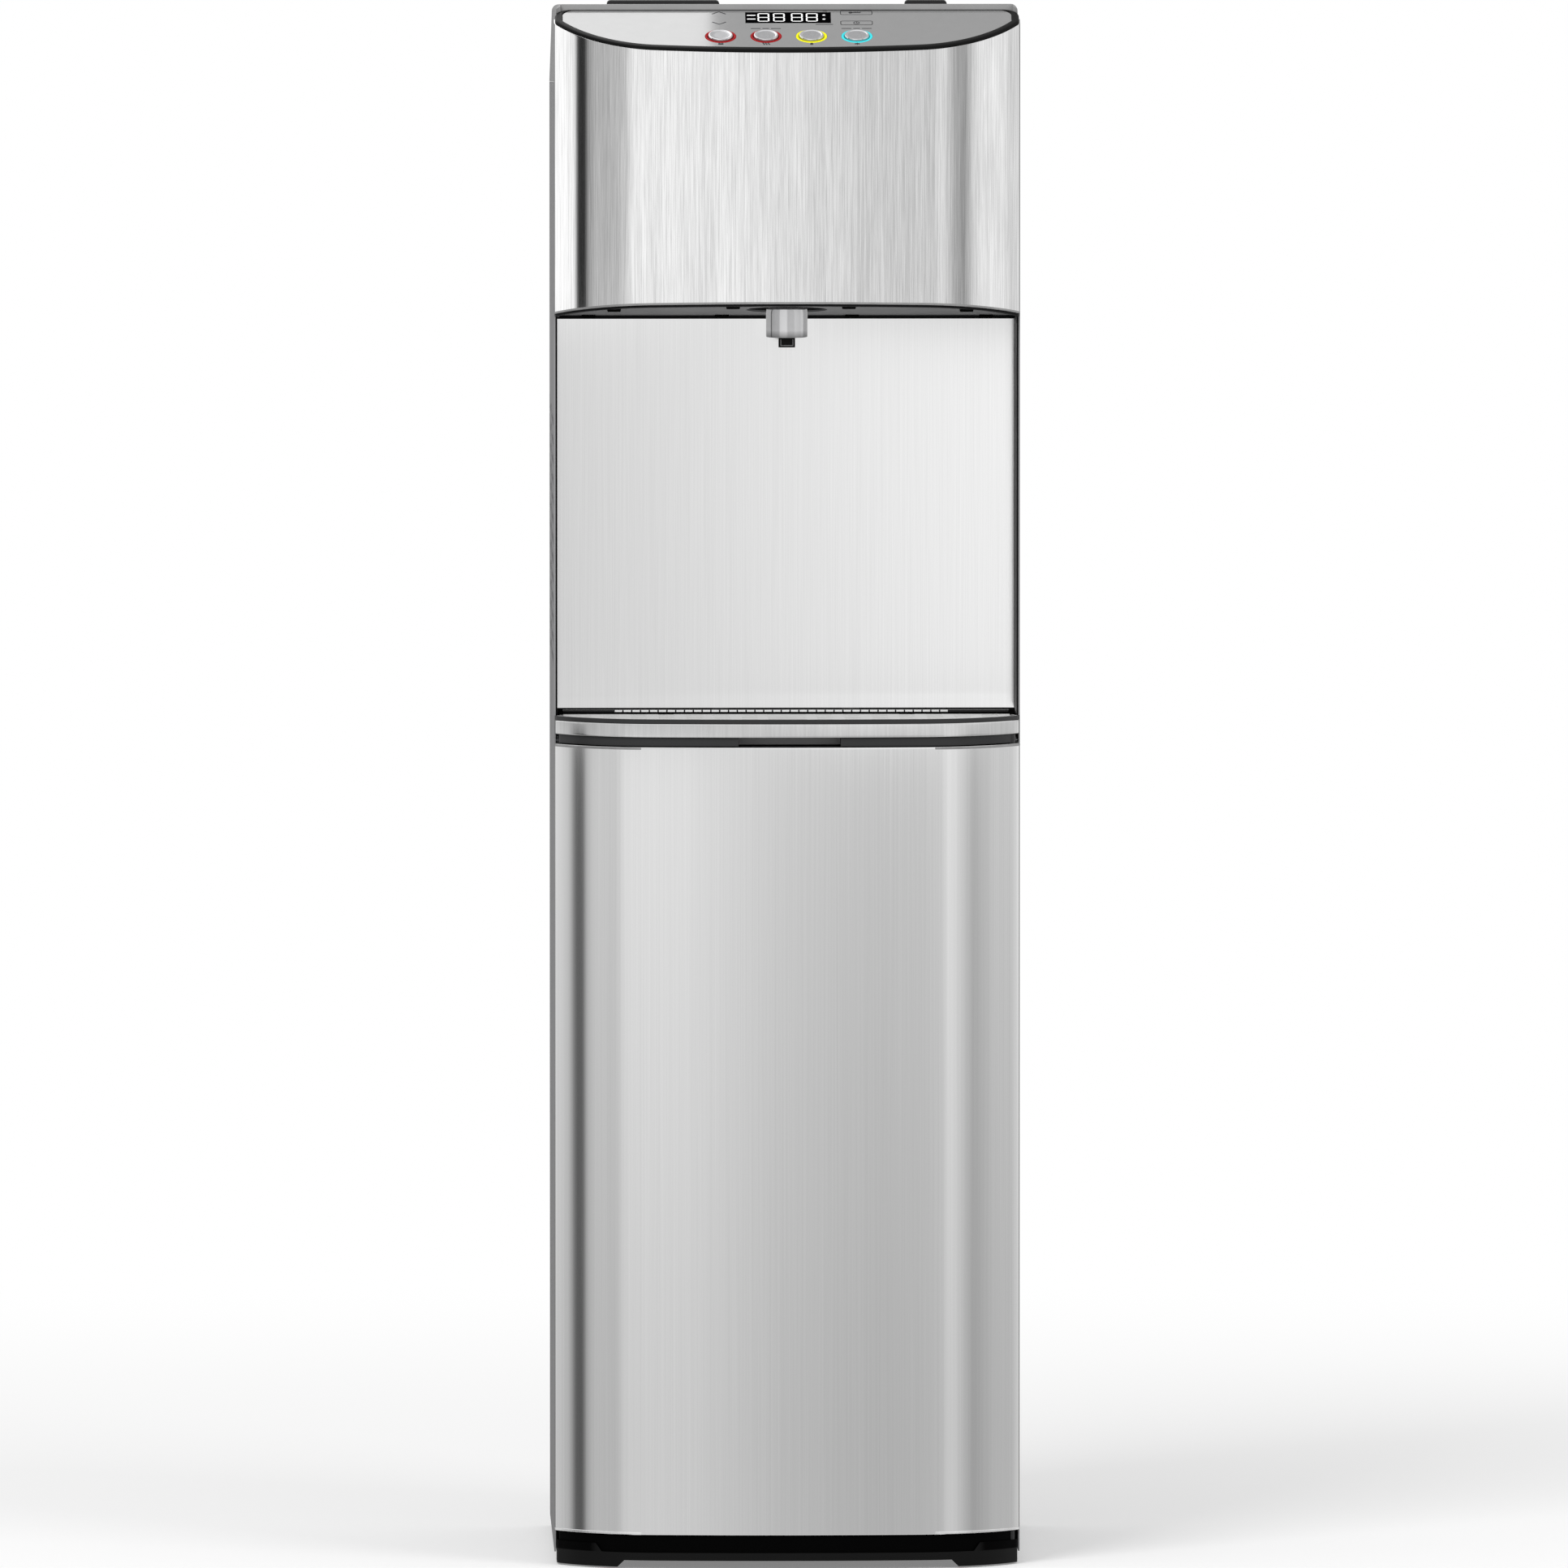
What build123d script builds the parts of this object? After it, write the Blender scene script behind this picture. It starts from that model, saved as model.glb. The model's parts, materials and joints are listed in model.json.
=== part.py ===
"""Bottom load water cooler: a free-standing cabinet with a bottle bay behind the lower door.

The frame: millimetres, +X to the viewer's right, the front faces -Y, +Z up, and the
origin is on the floor under the middle of the cooler. A "depth" is a distance behind the
front-most line of the cabinet, so y = front_y + depth.
"""

from build123d import *
from math import asin, cos, degrees, radians, sin, tan
import os

os.makedirs("parts", exist_ok=True)

# ---------------------------------------------------------------- driving dimensions
depth_total = 360.0
front_y = -depth_total / 2
height = 1040.0
half_width = 155.1
sheet = 1.0

# The bowed front line, the same for door, drip tray and upper fascia.
half_front = 155.0
bow_radius = 994.0
bow_half_chord = 88.0
corner_radius = 90.0
nose_radius = 8.0

# Levels
base_top = 22.0
plinth_bottom = 5.8
plinth_top = 11.0
door_bottom = 22.9
door_top = 548.5
deck_bottom = 549.0
shelf_top = 554.4
tray_bottom = 554.7
band_top = 564.2
tray_top = 567.0
alcove_bottom = 567.5
alcove_top = 827.5
canopy_front_edge = 843.6
fascia_front_top = 1010.6

# Depths
door_back = 46.5
side_front = 51.0
alcove_depth = 115.0
cabinet_back = 340.0
cover_back = 345.0
panel_back = 64.3
spout_depth = 62.0

# Slopes in degrees: the control panel rises to the rear, the canopy falls
panel_slope = 21.5
canopy_edge_slope = -11.4
canopy_plate_slope = -7.3
cover_slope = -2.73

# Hinge line of the door, on the viewer's right
hinge_x = 149.0
hinge_depth = 43.0
hinge_pin_radius = 2.5
hinge_clearance = 0.1

# Controls
button_spacing = 30.2
button_radius = 8.15
button_slope_distance = 25.4

# Sheet and wall thicknesses, and the usual gap between pieces that fit together
steel = 0.8
wall = 2.5
fit_gap = 0.2

# Angles of the three arcs of the front line
bow_angle = degrees(asin(bow_half_chord / bow_radius))
corner_end_angle = degrees(asin(
    (half_front - nose_radius - bow_half_chord + corner_radius * sin(radians(bow_angle)))
    / (corner_radius - nose_radius)
))
corner_angle = corner_end_angle - bow_angle
nose_angle = 90.0 - corner_end_angle


# ---------------------------------------------------------------- shared shapes
def y_at(depth):
    """Y of a depth behind the front-most line."""
    return front_y + depth


def level(z):
    """Horizontal plane at height z whose local Y is the depth."""
    return Plane(origin=(0, front_y, z))


def sloping(z_front, slope, lift=0.0):
    """Plane through the front line at z_front that rises to the rear by slope degrees."""
    normal = (0, -sin(radians(slope)), cos(radians(slope)))
    return Plane(origin=(0, front_y, z_front), x_dir=(1, 0, 0), z_dir=normal).offset(lift)


def write(name, part):
    """Label the part and write its STEP file."""
    part.label = name
    export_step(part, f"parts/{name}.step")


def bow_face(plane, inset=0.0, back=door_back, rear_corner=0.0):
    """Face between the bowed front line, moved in by inset, and a straight back line."""
    with BuildSketch(plane) as face:
        with BuildLine():
            centre = JernArc((0, inset), (1, 0), bow_radius - inset, bow_angle)
            corner = JernArc(centre @ 1, centre % 1, corner_radius - inset, corner_angle)
            nose = JernArc(corner @ 1, corner % 1, nose_radius - inset, nose_angle)
            side = Line(nose @ 1, (half_front - inset, back))
            Line(side @ 1, (0, back))
            mirror(about=Plane.YZ)
        make_face()
        if rear_corner:
            fillet(face.vertices().group_by(Axis.Y)[-1], rear_corner)
    return face.sketch


def bow_prism(bottom, top, inset=0.0, back=door_back, rear_corner=0.0, mode=Mode.ADD):
    """Upright prism on the bowed outline."""
    extrude(bow_face(level(bottom), inset, back, rear_corner), amount=top - bottom, mode=mode)


def block(x_range, depth_range, z_range, mode=Mode.ADD):
    """Box between two corners, given as ranges of x, depth and z."""
    with BuildSketch(level(z_range[0])) as plan:
        with Locations((sum(x_range) / 2, sum(depth_range) / 2)):
            Rectangle(x_range[1] - x_range[0], depth_range[1] - depth_range[0])
    extrude(plan.sketch, amount=z_range[1] - z_range[0], mode=mode)


def upright(x, depth, z_range, radius, mode=Mode.ADD):
    """Upright cylinder."""
    with BuildSketch(level(z_range[0])) as plan:
        with Locations((x, depth)):
            Circle(radius)
    extrude(plan.sketch, amount=z_range[1] - z_range[0], mode=mode)


def rear_facing(depth, x=0.0, z=0.0):
    """Plane that looks to the rear at a depth; its local X runs to -X and its local Y up."""
    return Plane(origin=(x, y_at(depth), z), x_dir=(-1, 0, 0), z_dir=(0, 1, 0))


# ---------------------------------------------------------------- base
foot_inner = 109.0
foot_bottom = 1.2
foot_top = 16.5
raise_inner = 124.0
raise_run = 4.0
foot_length = 70.0
base_inset = 1.5
neck_inset = 3.0
base_back = 339.0
base_half_width = 153.6
pad_radius = 13.0
pad_x = 128.0
pad_depths = (50.0, 312.0)
pad_height = 4.0
plinth_wall = 12.0
seal_face = side_front + 1.2
sill_half_width = 140.5
sill_top = 28.5
sill_sheet = 3.8

with BuildPart() as foot_raise:
    # the part of the corner feet above the plinth, with a sloping inner edge
    raise_z = (plinth_top, foot_top)
    bow_prism(*raise_z, base_inset, base_back)
    block((-half_width, half_width), (foot_length, base_back - foot_length), raise_z, Mode.SUBTRACT)
    with BuildSketch(Plane(origin=(0, front_y, 0), x_dir=(1, 0, 0), z_dir=(0, -1, 0))):
        with BuildLine():
            Polyline(
                (-raise_inner, plinth_top),
                (raise_inner, plinth_top),
                (raise_inner + raise_run, foot_top),
                (-raise_inner - raise_run, foot_top),
                close=True,
            )
        make_face()
    extrude(amount=-base_back, mode=Mode.SUBTRACT)

with BuildPart() as base:
    # plinth with a bowed front, and the narrower neck above it that carries the floor
    bow_prism(plinth_bottom, plinth_top, base_inset, base_back)
    bow_prism(plinth_top, base_top, neck_inset, side_front + 1)
    block((-base_half_width, base_half_width), (side_front + 1, base_back), (plinth_top, base_top))
    # the open underside
    bow_prism(plinth_bottom, base_top - wall, plinth_wall, base_back - plinth_wall, mode=Mode.SUBTRACT)
    # four corner feet, higher than the plinth at its corners
    for side in (-1, 1):
        for first, last in ((0.0, foot_length), (base_back - foot_length, base_back)):
            with BuildSketch(level(foot_bottom)):
                add(bow_face(Plane.XY, base_inset, base_back))
                with Locations((side * (foot_inner + half_front) / 2, (first + last) / 2)):
                    Rectangle(half_front - foot_inner, last - first, mode=Mode.INTERSECT)
            extrude(amount=plinth_top - foot_bottom)
            inner = side * foot_inner
            lowest = base.edges().filter_by(Axis.Y).group_by(Axis.Z)[0]
            inner_edges = lowest.filter_by_position(Axis.X, inner - 0.1, inner + 0.1)
            inner_edges = inner_edges.filter_by_position(Axis.Y, y_at(first) - 1, y_at(last) + 1)
            chamfer(inner_edges, plinth_bottom - foot_bottom)
    add(foot_raise.part)
    # pockets for the rubber pads and the hole of the lower hinge pin
    for x in (-pad_x, pad_x):
        for pad_depth in pad_depths:
            upright(x, pad_depth, (foot_bottom, pad_height + 0.1), pad_radius + fit_gap, Mode.SUBTRACT)
    upright(hinge_x, hinge_depth, (plinth_top, base_top), hinge_pin_radius, Mode.SUBTRACT)
    # low sill that the door's seal closes against
    block((-sill_half_width, sill_half_width), (seal_face, seal_face + sill_sheet), (base_top, sill_top))
write("base", base.part)

with BuildPart() as foot_pads:
    for x in (-pad_x, pad_x):
        for pad_depth in pad_depths:
            upright(x, pad_depth, (0.0, pad_height), pad_radius)
    chamfer(foot_pads.edges().group_by(Axis.Z)[0], 0.8)
write("foot_pads", foot_pads.part)


# ---------------------------------------------------------------- side and rear panels
side_bottom = 8.0
seam_front_z = 989.0
seam_gap = 0.3
flange_width = 14.0
flange_bottom = 23.2
flange_top = 960.0
louvre_first_z = 602.6
louvre_pitch = 13.2
louvre_rows = 13
louvre_height = 9.0
louvre_columns = ((85.0, 225.0), (240.0, 333.0))


def seam_z(depth):
    """Height of the seam under the top cover, which falls to the rear with the cover."""
    return seam_front_z + (depth - side_front) * tan(radians(cover_slope))


def side_panel(side):
    """Folded sheet: a web with louvre slots and a flange turned in along the rear edge."""
    with BuildPart() as panel:
        web_inner = side * (half_width - sheet)
        with BuildSketch(Plane(origin=(web_inner, front_y, 0), x_dir=(0, 1, 0), z_dir=(1, 0, 0))):
            with BuildLine():
                Polyline(
                    (side_front, side_bottom),
                    (cabinet_back, side_bottom),
                    (cabinet_back, seam_z(cabinet_back) - seam_gap),
                    (side_front, seam_z(side_front) - seam_gap),
                    close=True,
                )
            make_face()
            for first, last in louvre_columns:
                for row in range(louvre_rows):
                    with Locations(((first + last) / 2, louvre_first_z + row * louvre_pitch)):
                        SlotOverall(last - first, louvre_height, mode=Mode.SUBTRACT)
        extrude(amount=side * sheet)
        flange_x = sorted((web_inner, web_inner - side * flange_width))
        block(flange_x, (cabinet_back - sheet, cabinet_back), (flange_bottom, flange_top))
    return panel.part


write("side_panel_left", side_panel(-1))
write("side_panel_right", side_panel(1))

rear_half_width = 152.0
rear_bottom = 23.0
rear_top = 974.0
vent_rows = 9
vent_pitch = 12.0
vent_z = 905.0
vent_xs = (-78.0, 78.0)
vent_length, vent_height = 96.0, 4.5
inlet_x, inlet_z = 96.0, 716.0
inlet_width, inlet_height = 50.0, 30.0
switch_x, switch_z = -84.0, 716.0
switch_width, switch_height = 84.0, 30.0
inlet_lap = 6.0
switch_lap = 4.0
drain_x, drain_z = 0.0, 716.0
drain_radius = 5.0
rocker_pitch = 24.0

with BuildPart() as rear_panel:
    # pressed steel sheet with vent slots behind the tanks and cut-outs for the electrics
    rear_x = (-rear_half_width, rear_half_width)
    block(rear_x, (cabinet_back, cabinet_back + sheet), (rear_bottom, rear_top))
    with BuildSketch(rear_facing(cabinet_back + sheet)):
        for column_x in vent_xs:
            with Locations((column_x, vent_z)):
                with GridLocations(1, vent_pitch, 1, vent_rows):
                    SlotOverall(vent_length, vent_height)
        with Locations((-inlet_x, inlet_z)):
            Rectangle(inlet_width - 2 * inlet_lap, inlet_height - 8)
        with Locations((-switch_x, switch_z)):
            Rectangle(switch_width - 2 * switch_lap, switch_height - 2 * switch_lap)
        with Locations((-drain_x, drain_z)):
            Circle(drain_radius + fit_gap)
    extrude(amount=-sheet, mode=Mode.SUBTRACT)
write("rear_panel", rear_panel.part)


# ---------------------------------------------------------------- decks and posts
inner_half_width = 153.6
post_inner = 141.0
post_depth = 62.0
deck_flange = 13.0
deck_sheet = 1.2
deck_back = cabinet_back - 1.2
tank_shelf_z = 700.0
tank_shelf_front = 120.0
tank_shelf_flange = 14.0
cold_x, hot_x, tank_depth = -72.0, 84.0, 228.0
drain_pipe_hole = 8.0
pump_x, pump_depth = 88.0, 176.0
stub_x = pump_x - 30.0
riser_x, riser_depth = 136.0, 136.0

with BuildPart() as mid_deck:
    # steel floor of the machine compartment, with a flange that the door's seal closes against
    full_x = (-inner_half_width, inner_half_width)
    between_posts = (-post_inner + fit_gap, post_inner - fit_gap)
    deck_front = post_depth + fit_gap
    deck_z = (deck_bottom, deck_bottom + deck_sheet)
    block(full_x, (deck_front, deck_back), deck_z)
    block(between_posts, (seal_face, deck_front), (deck_bottom - 1, deck_bottom))
    block(between_posts, (deck_front - deck_sheet, deck_front + fit_gap), (deck_bottom - 1, deck_z[1]))
    block(between_posts, (seal_face, seal_face + deck_sheet), (deck_bottom - deck_flange, deck_bottom))
    upright(stub_x, pump_depth, deck_z, 6.0, Mode.SUBTRACT)
write("mid_deck", mid_deck.part)

with BuildPart() as tank_shelf:
    # steel shelf over the compressor that carries both tanks
    shelf_z = (tank_shelf_z, tank_shelf_z + deck_sheet)
    flange_z = (tank_shelf_z - tank_shelf_flange, tank_shelf_z)
    block(full_x, (tank_shelf_front, deck_back), shelf_z)
    block(full_x, (tank_shelf_front, tank_shelf_front + deck_sheet), flange_z)
    for x, hole_depth in ((cold_x, tank_depth), (hot_x, tank_depth), (riser_x, riser_depth)):
        upright(x, hole_depth, shelf_z, drain_pipe_hole, Mode.SUBTRACT)
write("tank_shelf", tank_shelf.part)

with BuildPart() as front_posts:
    # plastic posts that stiffen the front edges of the side panels and take the door's seal
    for side in (-1, 1):
        edges = sorted((side * post_inner, side * inner_half_width))
        block(edges, (side_front, post_depth), (base_top + 0.1, deck_bottom - 0.1))
    fillet(front_posts.edges().filter_by(Axis.Z).group_by(SortBy.DISTANCE)[0], 2.0)
write("front_posts", front_posts.part)

bottle_depth = 194.0
seat_radius = 128.0
seat_wall = 4.0
seat_sheet = 3.0

with BuildPart() as bottle_plate:
    # round seat for the bottle on the floor of the bay
    upright(0, bottle_depth, (base_top, base_top + 2 * seat_sheet), seat_radius)
    seat_hollow = (base_top + seat_sheet, base_top + 2 * seat_sheet)
    upright(0, bottle_depth, seat_hollow, seat_radius - seat_wall, Mode.SUBTRACT)
    for ring_radius in (60.0, 92.0):
        groove = (base_top + 2.0, base_top + seat_sheet)
        upright(0, bottle_depth, groove, ring_radius, Mode.SUBTRACT)
        upright(0, bottle_depth, groove, ring_radius - seat_sheet)
write("bottle_plate", bottle_plate.part)


# ---------------------------------------------------------------- bottle probe
probe_x, probe_depth = -121.0, 306.0
probe_radius = 6.0
probe_bottom = 96.0
probe_cap_bottom = 476.2
probe_cap_radius = 27.0
probe_cap_wall = 12.0
probe_bore = probe_radius - 2.0
dome_top = probe_cap_bottom + 27.0
barb_top = probe_cap_bottom + 42.0
hanger_gap = 0.7
hanger_half = 18.0
hanger_top = 476.0
hanger_sheet = 6.0

with BuildPart() as bottle_probe:
    # draw tube with a dome that covers the bottle's mouth and a barb for the hose on top
    with BuildSketch(Plane(origin=(probe_x, y_at(probe_depth), 0), x_dir=(1, 0, 0), z_dir=(0, -1, 0))):
        with BuildLine():
            Polyline(
                (probe_bore, probe_bottom + 6),
                (probe_radius, probe_bottom),
                (probe_radius, probe_cap_bottom),
                (probe_cap_radius, probe_cap_bottom),
                (probe_cap_radius, probe_cap_bottom + probe_cap_wall),
            )
            dome = Spline(
                (probe_cap_radius, probe_cap_bottom + probe_cap_wall),
                (probe_cap_radius * 0.72, dome_top - 4),
                (8.0, dome_top),
                tangents=((0, 1), (-1, 0)),
            )
            Polyline(
                dome @ 1,
                (5.5, dome_top),
                (5.0, barb_top),
                (probe_bore, barb_top),
                (probe_bore, probe_bottom + 6),
            )
        make_face()
    revolve(axis=Axis((probe_x, y_at(probe_depth), 0), (0, 0, 1)))
write("bottle_probe", bottle_probe.part)

with BuildPart() as probe_hanger:
    # fork on the rear wall of the bay that holds the probe under its dome
    hanger_x = (probe_x - hanger_half, probe_x + hanger_half)
    fork_z = (hanger_top - hanger_sheet, hanger_top)
    block(hanger_x, (probe_depth - 14, cabinet_back), fork_z)
    block(hanger_x, (cabinet_back - 3, cabinet_back), (fork_z[0] - 30, fork_z[0]))
    fork_radius = probe_radius + hanger_gap
    upright(probe_x, probe_depth, fork_z, fork_radius, Mode.SUBTRACT)
    mouth = (probe_x - fork_radius, probe_x + fork_radius)
    block(mouth, (probe_depth - 15, probe_depth), fork_z, Mode.SUBTRACT)
write("probe_hanger", probe_hanger.part)


# ---------------------------------------------------------------- door
cap_height = 10.0
cap_inset = 0.9
notch_x = (-33.0, 35.0)
notch_depth = 20.0
pocket_front = 3.2
rib_xs = (-110.0, -55.0, 0.0, 55.0, 110.0)
rib_sheet = 2.0
rib_depth = 12.0
liner_half_width = 153.6

with BuildPart() as door_skin:
    # brushed steel sheet rolled to the bowed outline
    bow_prism(door_bottom, door_top, 0.0, door_back)
    bow_prism(door_bottom, door_top, steel, door_back + 1, mode=Mode.SUBTRACT)
write("door_skin", door_skin.part)

with BuildPart() as door_caps:
    # end caps with the hinge bores; the upper one has the finger pocket behind the skin
    bow_prism(door_bottom + 0.5, door_bottom + cap_height, cap_inset, door_back)
    bow_prism(door_top - cap_height, door_top - 0.5, cap_inset, door_back)
    block(notch_x, (pocket_front, notch_depth), (door_top - cap_height, door_top), Mode.SUBTRACT)
    for bottom in (door_bottom, door_top - cap_height):
        bore = hinge_pin_radius + hinge_clearance
        upright(hinge_x, hinge_depth, (bottom, bottom + cap_height), bore, Mode.SUBTRACT)
write("door_caps", door_caps.part)

with BuildPart() as door_liner:
    # moulded back of the door with stiffening ribs, and a pan under the finger pocket
    liner_bottom = door_bottom + cap_height + 0.1
    liner_top = door_top - cap_height - 0.1
    liner_front = door_back - wall
    liner_x = (-liner_half_width, liner_half_width)
    block(liner_x, (liner_front, door_back), (liner_bottom, liner_top))
    for x in rib_xs:
        rib_x = (x - rib_sheet / 2, x + rib_sheet / 2)
        block(rib_x, (door_back - rib_depth, liner_front), (liner_bottom, liner_top - 30))
    pan_x = (notch_x[0] - 2, notch_x[1] + 2)
    block(pan_x, (pocket_front, liner_front), (liner_top - 4, liner_top))
write("door_liner", door_liner.part)

gasket_outer = 148.0
gasket_width = 4.5
gasket_z = (24.4, 546.5)
with BuildPart() as door_gasket:
    # soft magnetic seal round the back of the door
    gasket_height = gasket_z[1] - gasket_z[0]
    with BuildSketch(rear_facing(door_back, 0, sum(gasket_z) / 2)):
        gasket_inner = 2 * (gasket_outer - gasket_width)
        RectangleRounded(2 * gasket_outer, gasket_height, 3.0)
        RectangleRounded(gasket_inner, gasket_height - 2 * gasket_width, 1.0, mode=Mode.SUBTRACT)
    extrude(amount=side_front - door_back - 0.3)
write("door_gasket", door_gasket.part)

with BuildPart() as hinge_pins:
    # lower pin stands in the base, upper pin hangs from the tray shelf
    upright(hinge_x, hinge_depth, (plinth_top, door_bottom + cap_height - 1.5), hinge_pin_radius)
    upright(hinge_x, hinge_depth, (door_top - cap_height + 1.5, shelf_top), hinge_pin_radius)
write("hinge_pins", hinge_pins.part)


# ---------------------------------------------------------------- drip tray
tray_back = 103.5
tray_rear_half = 151.8
tray_wall = 2.4
grille_top = 565.6
grille_sheet = 1.5
grille_ledge = grille_top - grille_sheet
pan_floor = 557.0
sill_back = 118.2
dash_pitch = 18.4
dash_length = 11.0
grille_rows = (25.0, 38.0, 50.0, 62.0, 74.0, 86.0)
centre_slot = 26.0
dash_count = 7
dash_gap = 12.0
dash_width = 3.2
finger_width = 9.0
shelf_inset = 3.0
shelf_rear_half = 152.0
tray_inset = 1.1
rim_overhang = 0.3
pan_wall = 5.5


def tray_outline(plane, inset, back):
    """Bowed front part of the tray with its narrower rear part between the alcove's walls."""
    with BuildSketch(plane) as outline:
        add(bow_face(Plane.XY, inset, door_back))
        with Locations((0, (40 + back) / 2)):
            Rectangle(2 * (tray_rear_half - inset), back - 40)
    return outline.sketch


with BuildPart() as tray_shelf:
    # black shelf under the tray, seen as the dark strip above the door, with the finger notch
    step_depth = post_depth - 1.2
    step_x = (-post_inner + 0.6, post_inner - 0.6)
    rear_x = (-shelf_rear_half, shelf_rear_half)
    bow_prism(deck_bottom, shelf_top, shelf_inset, side_front + 1)
    block(step_x, (side_front + 1, step_depth), (deck_bottom + 0.05, shelf_top))
    block(rear_x, (step_depth, sill_back), (deck_bottom + deck_sheet + 0.1, shelf_top))
    block(notch_x, (-1.0, notch_depth), (deck_bottom, shelf_top), Mode.SUBTRACT)
    upright(hinge_x, hinge_depth, (deck_bottom, shelf_top), hinge_pin_radius, Mode.SUBTRACT)
write("tray_shelf", tray_shelf.part)

with BuildPart() as drip_tray:
    # pan with a rim, a ledge for the grille and a recess for the spills
    extrude(tray_outline(level(tray_bottom), tray_inset, tray_back), amount=band_top - tray_bottom)
    extrude(tray_outline(level(band_top), rim_overhang, tray_back), amount=tray_top - band_top)
    recess = tray_outline(level(grille_ledge), rim_overhang + tray_wall, tray_back - tray_wall)
    extrude(recess, amount=tray_top - grille_ledge, mode=Mode.SUBTRACT)
    pan = tray_outline(level(pan_floor), pan_wall, tray_back - pan_wall)
    extrude(pan, amount=grille_ledge - pan_floor, mode=Mode.SUBTRACT)
write("drip_tray", drip_tray.part)

with BuildPart() as tray_band:
    # brushed steel band round the front of the tray
    bow_prism(tray_bottom + 0.2, band_top - 0.1, 0.0, door_back)
    bow_prism(tray_bottom + 0.2, band_top - 0.1, 1.0, door_back + 1, mode=Mode.SUBTRACT)
write("tray_band", tray_band.part)

with BuildPart() as drip_grille:
    # lift-out grille: short slots in rows that follow the front, a long one in the middle;
    # the foremost of the long slots is wide enough for a finger
    plate_inset = 2 * rim_overhang + tray_wall
    plate_back = tray_back - tray_wall - rim_overhang
    plate = tray_outline(level(grille_ledge), plate_inset, plate_back)
    extrude(plate, amount=grille_sheet)
    with BuildSketch(level(grille_ledge)):
        for row_depth in grille_rows:
            with Locations((0, row_depth)):
                SlotOverall(centre_slot, finger_width if row_depth == grille_rows[0] else dash_width)
            for side in (-1, 1):
                for step in range(dash_count):
                    dash_x = side * (centre_slot / 2 + dash_gap + step * dash_pitch)
                    with Locations((dash_x, row_depth + dash_x**2 / (2 * bow_radius))):
                        SlotOverall(dash_length, dash_width)
    extrude(amount=grille_sheet, mode=Mode.SUBTRACT)
write("drip_grille", drip_grille.part)


# ---------------------------------------------------------------- alcove
liner_outer = 153.9
plate_half_width = 152.6
overflow_count = 38
overflow_pitch = 5.87
overflow_length = 4.9
overflow_width = 5.0
overflow_x = -3.0
overflow_top = tray_top - 1.4
tab_x = 43.5
tab_half = 5.5
tab_drop = 2.0
side_wall_inner = 152.9
sill_half = 151.5

with BuildPart() as alcove_plate:
    # brushed steel back of the dispensing alcove, with two locating tabs at its foot
    plate_depths = (alcove_depth, alcove_depth + sheet)
    block((-plate_half_width, plate_half_width), plate_depths, (alcove_bottom, alcove_top))
    for x in (-tab_x, tab_x):
        block((x - tab_half, x + tab_half), plate_depths, (alcove_bottom - tab_drop, alcove_bottom))
write("alcove_plate", alcove_plate.part)

with BuildPart() as alcove_liner:
    # back board with a raised border round the plate, an overflow sill and two side walls
    board = alcove_depth + sheet + 0.1
    border_front = alcove_depth - sheet
    liner_x = (-liner_outer, liner_outer)
    liner_z = (shelf_top + 0.1, canopy_front_edge)
    block(liner_x, (board, sill_back), liner_z)
    for side in (-1, 1):
        border = sorted((side * (plate_half_width + fit_gap), side * liner_outer))
        block(border, (border_front, board), liner_z)
        wall_x = sorted((side * side_wall_inner, side * liner_outer))
        block(wall_x, (side_front + 2, border_front), liner_z)
    block(liner_x, (border_front, board), (alcove_top + fit_gap, canopy_front_edge))
    split(bisect_by=sloping(canopy_front_edge + 0.6, canopy_plate_slope), keep=Keep.BOTTOM)
    sill_depths = (tray_back + 0.6, alcove_depth - fit_gap)
    sill_x = (-sill_half, sill_half)
    block(sill_x, sill_depths, (shelf_top + 0.1, overflow_top))
    block(sill_x, (sill_depths[1], board), (shelf_top + 0.1, alcove_bottom - tab_drop - fit_gap))
    # row of small overflow slots along the sill
    with BuildSketch(level(overflow_top)):
        with Locations((overflow_x, tray_back + 5.0)):
            with GridLocations(overflow_pitch, 1, overflow_count, 1):
                Rectangle(overflow_length, overflow_width)
    extrude(amount=-3.0, mode=Mode.SUBTRACT)
write("alcove_liner", alcove_liner.part)


# ---------------------------------------------------------------- head: canopy, fascia and carrier
fascia_back = 50.5
fascia_low = 820.0
fascia_high = 1060.0
panel_plane = sloping(fascia_front_top, panel_slope)
spout_hole_radius = 27.0
clip_width = 9.0
clip_length = 4.0
rear_clip_depth = 107.0
canopy_half_width = 151.5
carrier_drop = 1.3
canopy_lift = 0.8
front_clips = (-115.5, -36.5, 40.4, 118.8)
rear_clips = (-131.4, -42.6, 44.3, 133.7)


def cut_between(low_plane, high_plane):
    """Keep what stands between two planes."""
    split(bisect_by=low_plane, keep=Keep.TOP)
    split(bisect_by=high_plane, keep=Keep.BOTTOM)


with BuildPart() as upper_fascia:
    # brushed steel sheet from the canopy edge up to the control panel
    bow_prism(fascia_low, fascia_high, 0.0, fascia_back)
    bow_prism(fascia_low, fascia_high, steel, fascia_back + 1, mode=Mode.SUBTRACT)
    cut_between(sloping(canopy_front_edge, canopy_edge_slope), panel_plane)
write("upper_fascia", upper_fascia.part)

carrier_high = sloping(fascia_front_top, panel_slope, -0.1)
with BuildPart() as fascia_carrier:
    # moulded carrier behind the steel, with a ledge under the control panel
    bow_prism(fascia_low, fascia_high, steel + 0.1, fascia_back)
    bow_prism(fascia_low, fascia_high, steel + 0.1 + wall, fascia_back + 1, mode=Mode.SUBTRACT)
    cut_between(sloping(canopy_front_edge - carrier_drop, canopy_edge_slope), carrier_high)
write("fascia_carrier", fascia_carrier.part)

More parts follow.
